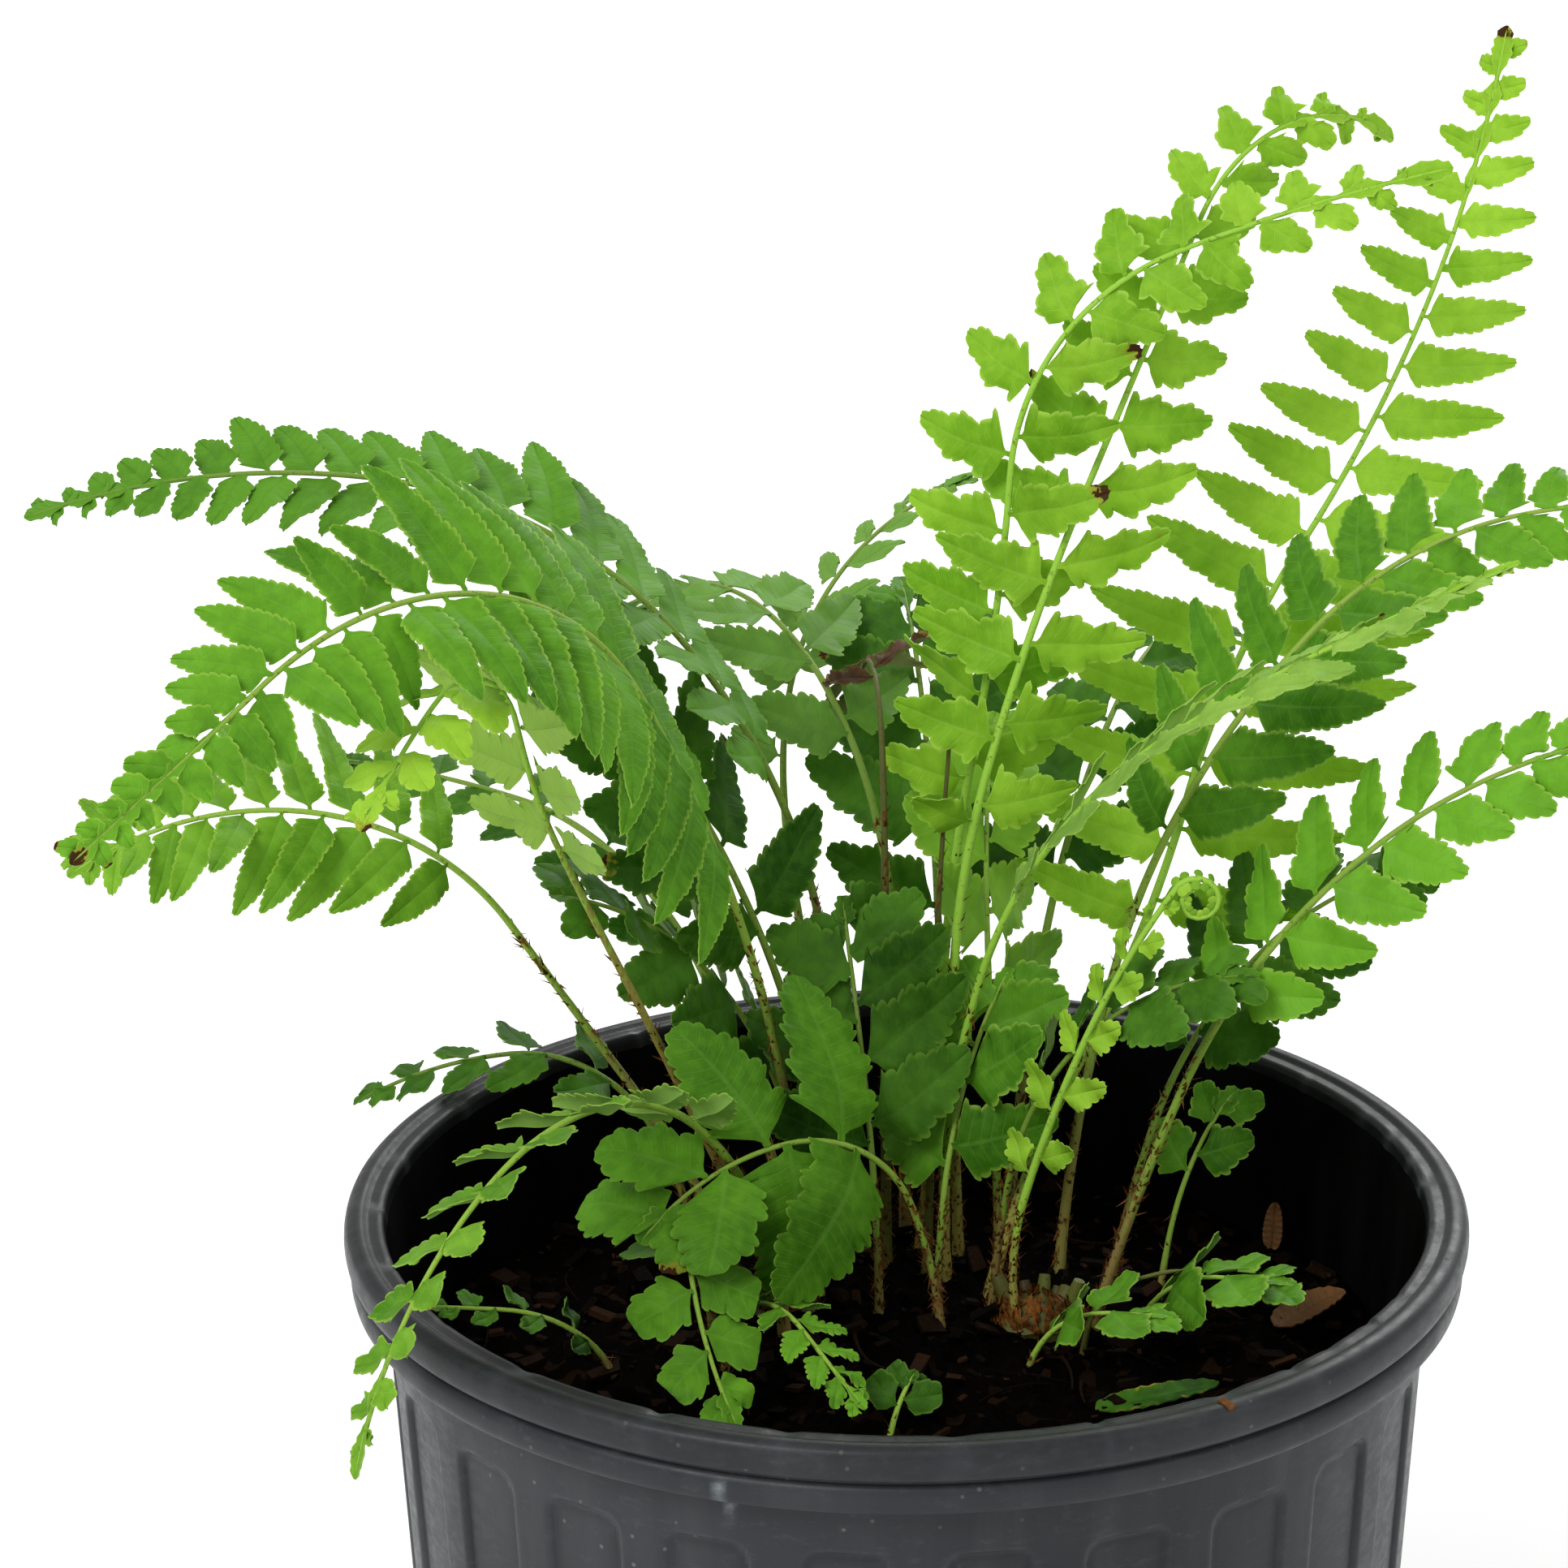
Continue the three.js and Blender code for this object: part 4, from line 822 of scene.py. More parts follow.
def blade_faces(rows, columns):
    """Faces of a thin closed body: an upper grid of points, then a lower one."""
    n = rows * columns
    top = grid_quads(rows, columns)
    bottom = grid_quads(rows, columns, n)[:, ::-1]
    i = np.arange(rows - 1) * columns
    j = i + columns - 1
    near_wall = np.stack([i, i + n, i + n + columns, i + columns], axis=1)
    far_wall = np.stack([j, j + columns, j + n + columns, j + n], axis=1)
    k = np.arange(columns - 1)
    root = np.stack([k, k + 1, k + n + 1, k + n], axis=1)
    e = k + (rows - 1) * columns
    end = np.stack([e, e + n, e + n + 1, e + 1], axis=1)
    return np.concatenate([top, bottom, near_wall, far_wall, root, end])


def add_sheet(shell, upper, lower, faces, vein, tint):
    """A thin closed body of two grids of points, whose underside is marked in the tint."""
    below = tint.copy()
    below[:, 3] = 1
    shell.add(np.concatenate([upper.reshape(-1, 3), lower.reshape(-1, 3)]), [faces], LEAF_SLOT,
              np.concatenate([vein, vein]), np.concatenate([tint, below]))


def blade_outline(pinna, cut, draw):
    """Grid of points of a toothed leaflet. For each row: its place and the phase of its teeth. For
    each point: its share across, the blade's half width, and where it lies across and along."""
    teeth = max(3, round(pinna.length / cut["spacing"]))
    tooth_places = np.array(TOOTH[0][:4])
    leafy = TEETH_FROM + TEETH_SPAN * (np.arange(teeth)[:, None] + tooth_places).ravel() / teeth
    u = np.concatenate([[0, 0.03, 0.05], leafy, [0.985, 1]])
    phase = (u - TEETH_FROM) / TEETH_SPAN * teeth
    uneven = 0.75 + 0.5 * np.array([draw() for _ in range(teeth + 2)])
    tooth = np.interp(phase % 1, *TOOTH) * (phase > 0) * uneven[np.clip(phase, 0, teeth).astype(int)]
    adnate = 0.8 * smoothstep(pinna.w, 0.55, 0.9) * (1 - smoothstep(u, 0.1, 0.3))
    far = np.maximum(edge_width(u, cut, cut["ear"]), adnate)
    near = np.maximum(edge_width(u, cut, cut["ear"] * 0.3) * 0.96, adnate)
    c = np.broadcast_to(ACROSS, (len(u), len(ACROSS)))
    edge = np.where(c > 0, far[:, None], near[:, None])
    lobe_shift = 6.3 * draw()
    lobe = np.sin(u[:, None] * pinna.length / LOBE_LENGTH * TURN + lobe_shift + 1.6 * (c > 0))
    swell = 1 + cut["depth"] * (tooth[:, None] - 0.62) * np.abs(c) ** 3 * (phase[:, None] > 0)
    swell = swell + cut["lobes"] * lobe * np.abs(c) ** 2 * smoothstep(u, 0.05, 0.2)[:, None]
    b = c * edge * swell
    ahead = u[:, None] + TOOTH_LEAN / teeth * tooth[:, None] * np.abs(c) ** 2 * (u[:, None] < 0.97)
    ahead = ahead + 0.09 * np.abs(c) * edge * (pinna.width / 2 / pinna.length)
    return u, phase[:, None], c, edge, b, np.minimum(ahead, 1)


def blade_relief(pinna, cut, draw, u, phase, c, edge, b):
    """Height of the leaflet's face: its fold, twist, droop, fields between veins, and midrib."""
    half_mm = pinna.width / 2 * edge
    fold = math.tan(math.radians(cut["fold"])) * (0.6 + 0.8 * draw())
    twist = math.tan(math.radians(14)) * cut["curl"] * (2 * draw() - 1)
    droop = 0.06 * cut["curl"] * (draw() - 0.35) * pinna.length
    ripple = 6.3 * draw()
    relief = fold * np.abs(b) * pinna.width / 2 + twist * b * pinna.width / 2 * u[:, None]
    relief = relief - droop * u[:, None] ** 2 - fold * 1.2
    relief = relief - 0.14 * (np.abs(c) * half_mm) ** 2 / max(pinna.width / 2, 1) * (0.6 + 0.9 * draw())
    field = np.sin(np.pi * np.clip((phase + VEIN_LEAN * (1 - np.abs(c))) % 1, 0, 1))
    relief = relief + FIELD_RISE * field * np.abs(c) * (1.25 - np.abs(c)) * (phase > 0)
    wave = 0.25 + 0.3 * cut["curl"]
    relief = relief + wave * np.sin(phase * 1.7 + ripple + 2 * c) * c ** 2 * edge
    relief = relief - MIDRIB_SINK * np.exp(-(c / 0.06) ** 2)
    return np.clip(relief, -MOST_RELIEF, MOST_RELIEF) * smoothstep(u, 0, 0.12)[:, None]


def add_blade(shell, pinna, cut, draw, withered):
    """One toothed leaflet as a thin closed body with a sunk midrib and raised fields."""
    u, phase, c, edge, b, ahead = blade_outline(pinna, cut, draw)
    relief = blade_relief(pinna, cut, draw, u, phase, c, edge, b)
    clear = 0.75 * smoothstep(u, 0.02, 0.1)[:, None] + np.zeros_like(b)
    spot = pinna.spots(ahead.ravel(), b.ravel(), clear.ravel())
    into_stem = 0.6 * (1 - smoothstep(u, 0, 0.04))[:, None] + 0 * b
    spot = spot - outer(into_stem.ravel(), pinna.out)
    thick = BLADE_THICK * (0.45 + 0.55 * (1 - np.abs(c))) + 0.35 * np.exp(-(c / 0.06) ** 2)
    upper = spot + outer((relief + BLADE_THICK * 0.2).ravel(), pinna.face)
    lower = spot + outer((relief - thick).ravel(), pinna.face)

    faces = blade_faces(*c.shape)
    if pinna.sign < 0:
        faces = faces[:, ::-1]
    vein = point_rows(phase + VEIN_LEAN * (1 - np.abs(c)) + VEIN_SHIFT, c, u[:, None])
    rim = np.maximum(smoothstep(np.abs(c), 0.84, 1.0), smoothstep(u, 0.95, 1.0)[:, None])
    rim = rim * cut.get("edge", 1)
    dry = withered * (smoothstep(u, 0.7, 1.0)[:, None] + 0.3 * np.abs(c) ** 3 * (c > 0))
    hue = cut["light"] + 0.3 * (draw() - 0.3) + cut["lighter"] * pinna.w
    tint = point_rows(hue, rim, np.clip(dry, 0, 1), cut.get("pale", 0))
    add_sheet(shell, upper, lower, faces, vein, tint)


def add_tip(shell, spec, line, cut, draw, dead_tip):
    """The blade that runs along both sides of a stem's end, where the last leaflets merge, and
    on past them as one pointed leaflet."""
    pairs = spec.pairs
    first = next((k for k in range(pairs) if (k + 0.5) / pairs > MERGED_FROM), pairs - 1)
    start, last = pair_share(spec, first), pair_share(spec, pairs - 1)
    tail = (1 - last) * spec.length
    steps = (pairs - first) * 6 + 12
    shares = np.linspace(start - 0.3 / spec.length, 1, steps)
    pair_at = np.interp(shares, [pair_share(spec, k) for k in range(first, pairs)], range(pairs - first))
    near_pair = 0.5 + 0.5 * np.cos(TURN * pair_at)
    grown = smoothstep(shares, start, start + 0.6 * (last - start) + 1e-6)
    wing = (0.5 + 2.1 * grown * near_pair) * min(1, spec.pinna / 26)
    over = np.clip((shares - last) / (1 - last), 0, 1)
    end_width = min(0.3 * tail, 3.2)
    wing = np.where(over > 0, end_width * np.sqrt(np.maximum(1 - over ** 1.7, 0)) + 0.25, wing)
    wing = wing * (1 + 0.14 * np.sin(shares * spec.length * 2.4))
    columns = len(ACROSS)
    c = np.broadcast_to(ACROSS, (steps, columns))
    rows = [line.at(share) for share in shares]
    place, tangent, side, up = (np.array(part) for part in zip(*rows))
    half = wing[:, None] * c
    relief = 0.16 * np.abs(half) - 0.25 * np.exp(-(c / 0.1) ** 2) + 0.2
    ahead = 0.4 * np.abs(half)
    ahead = np.minimum(ahead, (1 - shares)[:, None] * spec.length)
    spot = (place[:, None] + side[:, None] * half[..., None] + up[:, None] * relief[..., None]
            + tangent[:, None] * ahead[..., None])
    upper = spot + up[:, None] * 0.14
    lower = spot - up[:, None] * 0.16
    phase = shares[:, None] * spec.length / cut["spacing"] + VEIN_LEAN * (1 - np.abs(c)) + VEIN_SHIFT
    vein = point_rows(phase, c, shares[:, None])
    rim = smoothstep(np.abs(c), 0.84, 1.0)
    dry = dead_tip * smoothstep(shares, 1 - 9 / spec.length, 1)[:, None]
    hue = cut["light"] + cut["lighter"] + 0.1 * draw()
    tint = point_rows(hue, rim, dry, 0)
    add_sheet(shell, upper, lower, blade_faces(steps, columns), vein, tint)


def add_tube(shell, centres, sides, ups, widths, heights, slot, tint, around=10):
    """A closed tube through rings of any width and height; sides, ups and tint may be single."""
    sides, ups = np.broadcast_to(sides, centres.shape), np.broadcast_to(ups, centres.shape)
    tint = np.broadcast_to(tint, (len(centres), 4))
    turn = angles_round(around)
    ring = (centres[:, None] + sides[:, None] * (np.cos(turn) * widths[:, None])[..., None]
            + ups[:, None] * (np.sin(turn) * heights[:, None])[..., None])
    faces = tube_faces(len(centres), around)
    if np.cross(sides[0], ups[0]).dot(centres[1] - centres[0]) < 0:
        faces = [part[:, ::-1] for part in faces]
    shell.add(ring.reshape(-1, 3), faces, slot, None, np.repeat(tint, around, axis=0))


# distance between a stem's rings of points, and the number of rings in a coil
STEM_RING = 3.2
COIL_RINGS = 46
# share of a stem that is brown, from its foot
BROWN_UP_TO = {"bright": 0.2, "fresh": 0.32, "green": 0.36, "dark": 0.45, "dead": 3.0}


def add_stem(shell, spec, line, draw, tan=None):
    """The round stem, a little uneven, brown towards its foot."""
    end = line.shares[-1]
    rings = int(spec.length / STEM_RING)
    shares = np.linspace(0, end, max(12, rings))
    if end > 1:
        shares = np.concatenate([np.linspace(0, 1, rings), np.linspace(1.02, end, COIL_RINGS)])
    rows = [line.at(share) for share in shares]
    width = np.array([stem_width(spec, share) for share in shares])
    width = width * (1 + 0.05 * np.array([draw() - 0.5 for _ in shares]))
    foot = 1 + 0.25 * (1 - smoothstep(shares * spec.length, 4, 26))
    tip = np.where(shares >= end - 1e-6, 0.35, 1.0)
    place, _, side, up = (np.array(part) for part in zip(*rows))
    brown_to = tan or BROWN_UP_TO[spec.tone]
    brown = 1 - smoothstep(shares, brown_to * 0.2, brown_to)
    tint = point_rows(draw(), 0, brown, 0)
    centre = place - up * (0.1 * width)[:, None]
    widths, heights = width * 0.43 * foot * tip, width * 0.39 * foot * tip
    add_tube(shell, centre, side, up, widths, heights, STEM_SLOT, tint)


STEM_SCALES = 190
FEW_STEM_SCALES = 16
SHORT_STEM = 70
# how far up its bare part a stem has scales
SCALES_UP_TO = 0.85


def add_scales(shell, spec, line, draw, count):
    """Thin brown scales that stand off the foot of a stem."""
    for _ in range(count):
        share = SCALES_UP_TO * draw() ** 1.6 * min(1, spec.bare) + 0.02
        place, tangent, side, up = line.at(min(share, 1))
        angle = TURN * draw()
        normal = side * math.cos(angle) + up * math.sin(angle)
        width = stem_width(spec, share)
        root = place - up * 0.1 * width + normal * width * 0.38
        length = 1.2 + 2.4 * draw()
        lean = 0.25 + 0.9 * draw()
        axis = unit(tangent * (1 if draw() > 0.25 else -1) + normal * lean)
        wide = np.cross(tangent, normal) * (0.25 + 0.35 * draw())
        corners = [root + wide, root - wide, root - normal * 0.3, root + axis * length]
        faces = np.array([[0, 1, 3], [1, 2, 3], [2, 0, 3], [0, 2, 1]])
        shell.add(corners, [faces], SCALE_SLOT, None, (draw(), 0, 1, 0))


# How withered the tip of a frond is.
DEAD_TIPS = {
    "frond_left_big": 1.0, "frond_right_tall": 0.8, "frond_left_bright": 0.7, "frond_dead": 1.0,
}

# Plants low in the pot, whose leaves take a darker tone than their own as painted shade inside the pot.
PAINTED_SHADE_TONES = {
    "weed_clover": "dark", "weed_sprig": "dark", "frond_front_fine": "green",
    "leaf_soil_right": "green", "leaf_soil_front": "green", "frond_front_round": "green",
}


def make_frond(spec):
    line = Line(spec)
    shell = Shell()
    cut = CUTS.get(spec.name, PLAIN_CUT)
    draw = random.Random(spec.name).random
    add_stem(shell, spec, line, draw, cut.get("tan"))
    scales = FEW_STEM_SCALES if spec.length < SHORT_STEM else STEM_SCALES
    add_scales(shell, spec, line, draw, scales)
    dead_tip = DEAD_TIPS.get(spec.name, 0.0)
    if spec.pairs > 1:
        for pinna in chosen_pinnae(spec, line):
            withered = 0.25 + 0.65 * draw() if draw() < cut["brown"] else 0.0
            withered = max(withered, dead_tip * smoothstep(pinna.w, 0.93, 1))
            add_blade(shell, pinna, cut, draw, withered)
        if not spec.coil:
            add_tip(shell, spec, line, cut, draw, dead_tip)
    if spec.coil:
        add_coil_leaflets(shell, line, draw)
    tone = spec.tone
    slot = "dead" if tone == "dead" else "leaf_" + tone
    # plants low in the pot get darker leaves as painted shade
    leaf = LEAVES[PAINTED_SHADE_TONES.get(spec.name, tone)]
    shell.piece([leaf, STEMS[tone], SCALES], spec.name, slot)


COIL_PAIRS = 13


def add_coil_leaflets(shell, line, draw):
    """Small folded leaflets that hug the coiled tip."""
    for i in range(COIL_PAIRS):
        share = 1.03 + 0.9 * i / COIL_PAIRS
        place, tangent, side, up = line.at(share)
        for sign in (1, -1):
            size = 2.6 - 1.2 * i / COIL_PAIRS
            v = np.arange(6) / 5
            centres = place + outer(0.6 + size * 0.9 * v, side * sign) - outer(0.2 + v, up)
            widths = 0.35 + 0.75 * size * np.sin(math.pi * (0.12 + 0.78 * v)) * 0.5
            tint = (draw(), 0.2, 0, 0)
            add_tube(shell, centres, tangent, unit(up), widths, 0 * v + 0.3, LEAF_SLOT, tint, around=6)


for stem in FRONDS:
    make_frond(stem)


# Pot.

def wall_radius(z):
    widening = (WALL_TOP_RADIUS - BASE_RADIUS) * (z - BASE_CHAMFER)
    return BASE_RADIUS + widening / (WALL_TOP_Z - BASE_CHAMFER)


def bead(low, high, inner, bulge, count=7):
    """Points up a rounded bead."""
    middle, half = (low + high) / 2, (high - low) / 2
    last = 1.25
    turns = np.linspace(-1, 1, count) * last
    radii = [inner + bulge * math.cos(turn) ** 0.6 for turn in turns]
    heights = [middle + half * math.sin(turn) / math.sin(last) for turn in turns]
    return list(zip(radii, heights))


def rim_rows(*points):
    """Points given by how far they lie inside the rim's edge, and their height."""
    return [(RIM_RADIUS - inset, z) for inset, z in points]


def pot_profile():
    """Rows of the pot from under its base, up the outside and down the inside."""
    wall_z = [3.5, 9, 13, 14.8, 15.6, 16.4, 17.2, 19, 24, 40, 60, 85, 110, 135, 160, 180, 193, 199,
              201.5, 203.2, 204.6, 205.8, 206.7, 207.5, 208.3, 209.2, 211, 215, 219, 221.6]
    rows = [(0.5, 0), (60, 0), (BASE_RADIUS - BASE_CHAMFER, 0), (BASE_RADIUS - 1.2, 0.9)]
    rows += [(wall_radius(z), z) for z in wall_z]
    rows += rim_rows((8.6, 222.0), (3.6, 222.3))
    rows += bead(222.6, 229.2, RIM_RADIUS - 3.2, 1.8)
    rows += rim_rows((3.3, 229.8), (3.4, 230.6))
    rows += bead(231.2, 239.2, RIM_RADIUS - 2.4, 2.35, 9)
    rows += rim_rows((2.6, 239.8), (4.0, 240.0), (5.0, 239.7), (5.7, 239.1), (6.5, 239.0),
                     (8.0, 239.3), (9.4, 239.3), (10.2, 238.7), (RIM_LIP, 237.6))
    inner_top, inner_foot = RIM_RADIUS - RIM_LIP, BASE_RADIUS - WALL - 1
    for z in (235.5, 232, 227, 221, 214, 207, 200, 193, 186, 120, BASE_CHAMFER + 0.2):
        share = (POT_HEIGHT - z) / (POT_HEIGHT - BASE_CHAMFER)
        rows.append((inner_top + (inner_foot - inner_top) * share, z))
    rows += [(60, BASE_CHAMFER + 0.2), (0.5, BASE_CHAMFER + 0.2)]
    return np.array(rows)


BOX_CORNERS = [(-1, -1, -1), (1, -1, -1), (1, 1, -1), (-1, 1, -1),
               (-1, -1, 1), (1, -1, 1), (1, 1, 1), (-1, 1, 1)]
BOX_FACES = [[3, 2, 1, 0], [4, 5, 6, 7], [0, 1, 5, 4], [1, 2, 6, 5], [2, 3, 7, 6], [3, 0, 4, 7]]


def bark_bit(shell, centre, size, draw, slot):
    """One broken flake: an uneven box of eight corners."""
    ahead = towards(TURN * draw(), (draw() - 0.5) * 1.2)
    side = unit(np.cross(vec(0, 0, 1), ahead))
    up = np.cross(ahead, side)
    long, wide, tall = size, size * (0.3 + 0.4 * draw()), size * (0.12 + 0.2 * draw())
    corners = []
    for sx, sy, sz in BOX_CORNERS:
        jitter = [0.65 + 0.5 * draw() for _ in range(3)]
        corners.append(centre + ahead * sx * long / 2 * jitter[0] + side * sy * wide / 2 * jitter[1]
                       + up * sz * tall / 2 * jitter[2])
    shell.add(corners, [BOX_FACES], slot, None, (draw(), 0, 0, 0))


# Rows of the pot's profile at which its parts start, as pot_profile lists them.
WALL_ROW = 4
SHOULDER_ROW = 34
LOWER_BEAD_ROW = 36
UPPER_BEAD_ROW = 45
RIM_TOP_ROW = 54
LIP_ROWS = range(59, 66)
INNER_ROW = 63
OUTER_SLOT = 0
INNER_SLOT = 1
FLAKE_SLOT = 2

# Places round the pot of a scrape across the rim and of a flake that lies on it, in degrees.
SCRAPE_AT = 250.8
FLAKE_AT = 301.5
PANEL_CORNER = 5.0

# Columns of the pot's mesh round one panel, in degrees from its middle; closer at its edges.
PANEL_COLUMNS = np.array([-7.5, -6.6, -5.7, -5.25, -4.85, -4.45, -4.05, -3.2, -2.1, -1.05, 0, 1.05, 2.1,
                          3.2, 4.05, 4.45, 4.85, 5.25, 5.7, 6.6])


def panel_distance(turn, height):
    """How far outside the nearest recessed panel, which has rounded corners, a point lies."""
    pitch = TURN / FLUTES
    from_middle = np.abs((turn % pitch) - pitch / 2) * wall_radius(FLUTE_TOP_Z)
    half_height = (FLUTE_TOP_Z - FLUTE_BOTTOM_Z) / 2
    dx = from_middle - (FLUTE_WIDTH / 2 - PANEL_CORNER)
    dz = np.abs(height - (FLUTE_TOP_Z + FLUTE_BOTTOM_Z) / 2) - (half_height - PANEL_CORNER)
    outer = np.hypot(np.maximum(dx, 0), np.maximum(dz, 0))
    return outer + np.minimum(np.maximum(dx, dz), 0) - PANEL_CORNER


def lip_dents(turn, draw):
    """Depth of the creases and shallow dents round the inner lip."""
    dent = np.zeros_like(turn)
    at = 0.0
    while at < 360:
        at += 6 + 13 * draw()
        wide = math.radians(0.5 + 1.1 * draw())
        deep = 0.35 + 0.8 * draw()
        away = np.abs((turn - math.radians(at) + math.pi) % TURN - math.pi)
        dent += deep * np.exp(-(away / wide) ** 2)
    return dent


def make_pot():
    draw = random.Random(7).random
    angles = np.concatenate([(i + 0.5) * 360 / FLUTES + PANEL_COLUMNS for i in range(FLUTES)])
    rows = pot_profile()
    radius, height = np.meshgrid(rows[:, 0], angles * 0, indexing="ij")
    height = np.broadcast_to(rows[:, 1][:, None], radius.shape).copy()
    row_id = np.broadcast_to(np.arange(len(rows))[:, None], radius.shape)
    turn = np.radians(np.broadcast_to(angles, radius.shape))
    outside = (row_id >= WALL_ROW) & (row_id < SHOULDER_ROW)

    distance = panel_distance(turn, height)
    recess = 1 - smoothstep(distance, -1.1, 0.5)
    radius = radius - np.where(outside, FLUTE_DEPTH * recess, 0)
    # painted highlight along the panels' edges, and painted shade just inside them
    panel_edge_highlight = np.where(outside, np.exp(-((distance + 0.2) / 0.8) ** 2), 0)
    panel_shadow = np.where(outside, np.exp(-((distance + 2.0) / 1.5) ** 2), 0)

    # blow-moulded wall: slow waves, none of them outwards
    wave = 0.35 * (np.sin(turn * 3 + 0.6) + np.sin(turn * 7 + height * 0.02) + 2) / 4
    radius = radius - np.where((row_id >= WALL_ROW) & (row_id <= LIP_ROWS[0]), wave, 0)

    lip = np.isin(row_id, LIP_ROWS)
    inner = row_id > INNER_ROW
    dent = lip_dents(turn, draw)
    height = height - np.where(lip, dent * 0.9, 0)
    radius = radius + np.where(inner & (height > 225), dent * 0.5, 0)
    swell = 0.7 * np.sin(turn * 11 + 1.3) * np.sin(height * 0.3 + turn * 4)
    radius = radius - np.where(inner & (height > 196) & (height < 236), np.abs(swell), 0)
    points = np.stack([radius * np.cos(turn), radius * np.sin(turn), height], axis=2)

    # wear and a scrape on the rim; painted highlight on panel edges; painted shade on rim top, beads and
    # panel sides
    rim_front = row_id <= RIM_TOP_ROW + 1
    wear_and_painted_highlight = np.where((row_id >= UPPER_BEAD_ROW) & rim_front, 0.12, 0.0)
    wear_and_painted_highlight = wear_and_painted_highlight + np.where(lip, np.clip(dent, 0, 1) * 0.5, 0)
    scrape = np.exp(-((turn - math.radians(SCRAPE_AT)) * RIM_RADIUS / 1.0) ** 2)
    scrape = scrape * smoothstep(height, 214, 219) * (1 - smoothstep(height, 227, 229)) * rim_front
    # painted highlight on the panels' edges joins the real wear and scrape
    wear_and_painted_highlight = wear_and_painted_highlight + 0.1 * panel_edge_highlight + 1.8 * scrape
    # painted shade: some on the lower bead, more on the upper bead, most on the rim's top, less in the
    # lip's dents
    shade = np.where(row_id >= LOWER_BEAD_ROW, 0.2, 0.0)
    shade = np.where(row_id >= UPPER_BEAD_ROW, 0.6, shade)
    shade = np.where(row_id >= RIM_TOP_ROW, 1.0, shade)
    shade = shade * (1 - 0.5 * np.clip(dent, 0, 1)) + 0.42 * panel_shadow
    tint = point_rows(0, wear_and_painted_highlight, shade, 0)

    shell = Shell()
    count, around = radius.shape
    shell.add(points.reshape(-1, 3), tube_faces(count, around), OUTER_SLOT, None, tint)
    # rows from INNER_ROW down take the near-black inner material of painted shade
    wall_slots = np.repeat(np.where(np.arange(count - 1) >= INNER_ROW, INNER_SLOT, OUTER_SLOT), around)
    shell.slots = wall_slots.tolist() + [OUTER_SLOT, INNER_SLOT]
    flake = towards(math.radians(FLAKE_AT), 0) * (RIM_RADIUS - 2.6) + vec(0, 0, POT_HEIGHT - 0.4)
    bark_bit(shell, flake, 4.5, draw, FLAKE_SLOT)
    shell.piece([POT, POT_INNER_PAINTED_SHADE, SCALES], "pot", "pot_plastic", sharp=40)


make_pot()


# Soil, crowns and what lies on the soil.

def soil_height(x, y):
    mound = SOIL_MOUND * np.exp(-((x - 6) ** 2 + (y - 38) ** 2) / 2800)
    waves = 1.6 * np.sin(x * 0.083 + 1.1) * np.cos(y * 0.071) + 0.9 * np.sin(x * 0.19 - y * 0.16)
    return SOIL_Z + mound + waves


def crumbs(x, y):
    """Fine lumps of the soil's surface, built from waves that don't repeat within the pot."""
    total = np.zeros_like(x)
    draw = random.Random(31).random
    for size, tall in ((14, 0.7), (8, 0.55), (4.5, 0.5), (2.8, 0.4)):
        for _ in range(4):
            turn, shift = TURN * draw(), 6.3 * draw()
            along = x * math.cos(turn) + y * math.sin(turn)
            total += tall * np.sin(along * TURN / size + shift) / 2
    return total


SOIL_SLOT = 0
BARK_SLOT = 1
BARK_BITS = 620
ROOT_THREADS = 46
THREAD_POINTS = 7


def add_thread(shell, edge, draw):
    """A thin dead root that lies on the soil, left out where it would reach the wall."""
    away = edge * 0.9 * math.sqrt(draw())
    angle = TURN * draw()
    heading = TURN * draw()
    length = 10 + 22 * draw()
    steps = np.linspace(0, 1, THREAD_POINTS)
    turn = heading + (draw() - 0.5) * 1.8 * steps
    px = away * math.cos(angle) + np.cumsum(np.cos(turn)) * length / THREAD_POINTS
    py = away * math.sin(angle) + np.cumsum(np.sin(turn)) * length / THREAD_POINTS
    if np.hypot(px, py).max() > edge * 0.94:
        return
    centres = np.stack([px, py, soil_height(px, py) + 0.9 + 0.5 * np.sin(steps * 3.1)], axis=1)
    sides = np.stack([-np.sin(turn), np.cos(turn), 0 * steps], axis=1)
    thick = (0.25 + 0.5 * draw()) * (1 - 0.6 * steps)
    add_tube(shell, centres, sides, vec(0, 0, 1), thick, thick, BARK_SLOT, (draw(), 0, 0, 0), around=5)


def make_soil():
    draw = random.Random(5).random
    edge = wall_radius(SOIL_Z) - WALL - GAP
    rings = np.concatenate([[0.004], np.linspace(0.02, 0.995, 92)]) * edge
    around = 240
    turn = angles_round(around)
    x = outer(rings, np.cos(turn))
    y = outer(rings, np.sin(turn))
    z = soil_height(x, y) + crumbs(x, y) * (1 - smoothstep(rings / edge, 0.97, 1.0))[:, None]
    z = z - 3 * smoothstep(rings / edge, 0.97, 1.0)[:, None]
    surface = np.stack([x, y, z], axis=2)
    low = surface[-1].copy()
    low[:, 2] = SOIL_Z - 24
    base = low * vec(0.02, 0.02, 1)
    points = np.concatenate([surface.reshape(-1, 3), low, base])
    shell = Shell()
    shell.add(points, turned_tube_faces(len(rings) + 2, around), SOIL_SLOT)
    for _ in range(BARK_BITS):
        away = edge * 0.965 * math.sqrt(draw())
        angle = TURN * draw()
        cx, cy = away * math.cos(angle), away * math.sin(angle)
        size = 1.6 + 7.5 * draw() ** 3
        centre = vec(cx, cy, float(soil_height(cx, cy)) + 0.5 + 0.14 * size)
        bark_bit(shell, centre, size, draw, BARK_SLOT)
    for _ in range(ROOT_THREADS):
        add_thread(shell, edge, draw)
    shell.piece([SOIL, BARK], "soil", "soil", sharp=60)


make_soil()

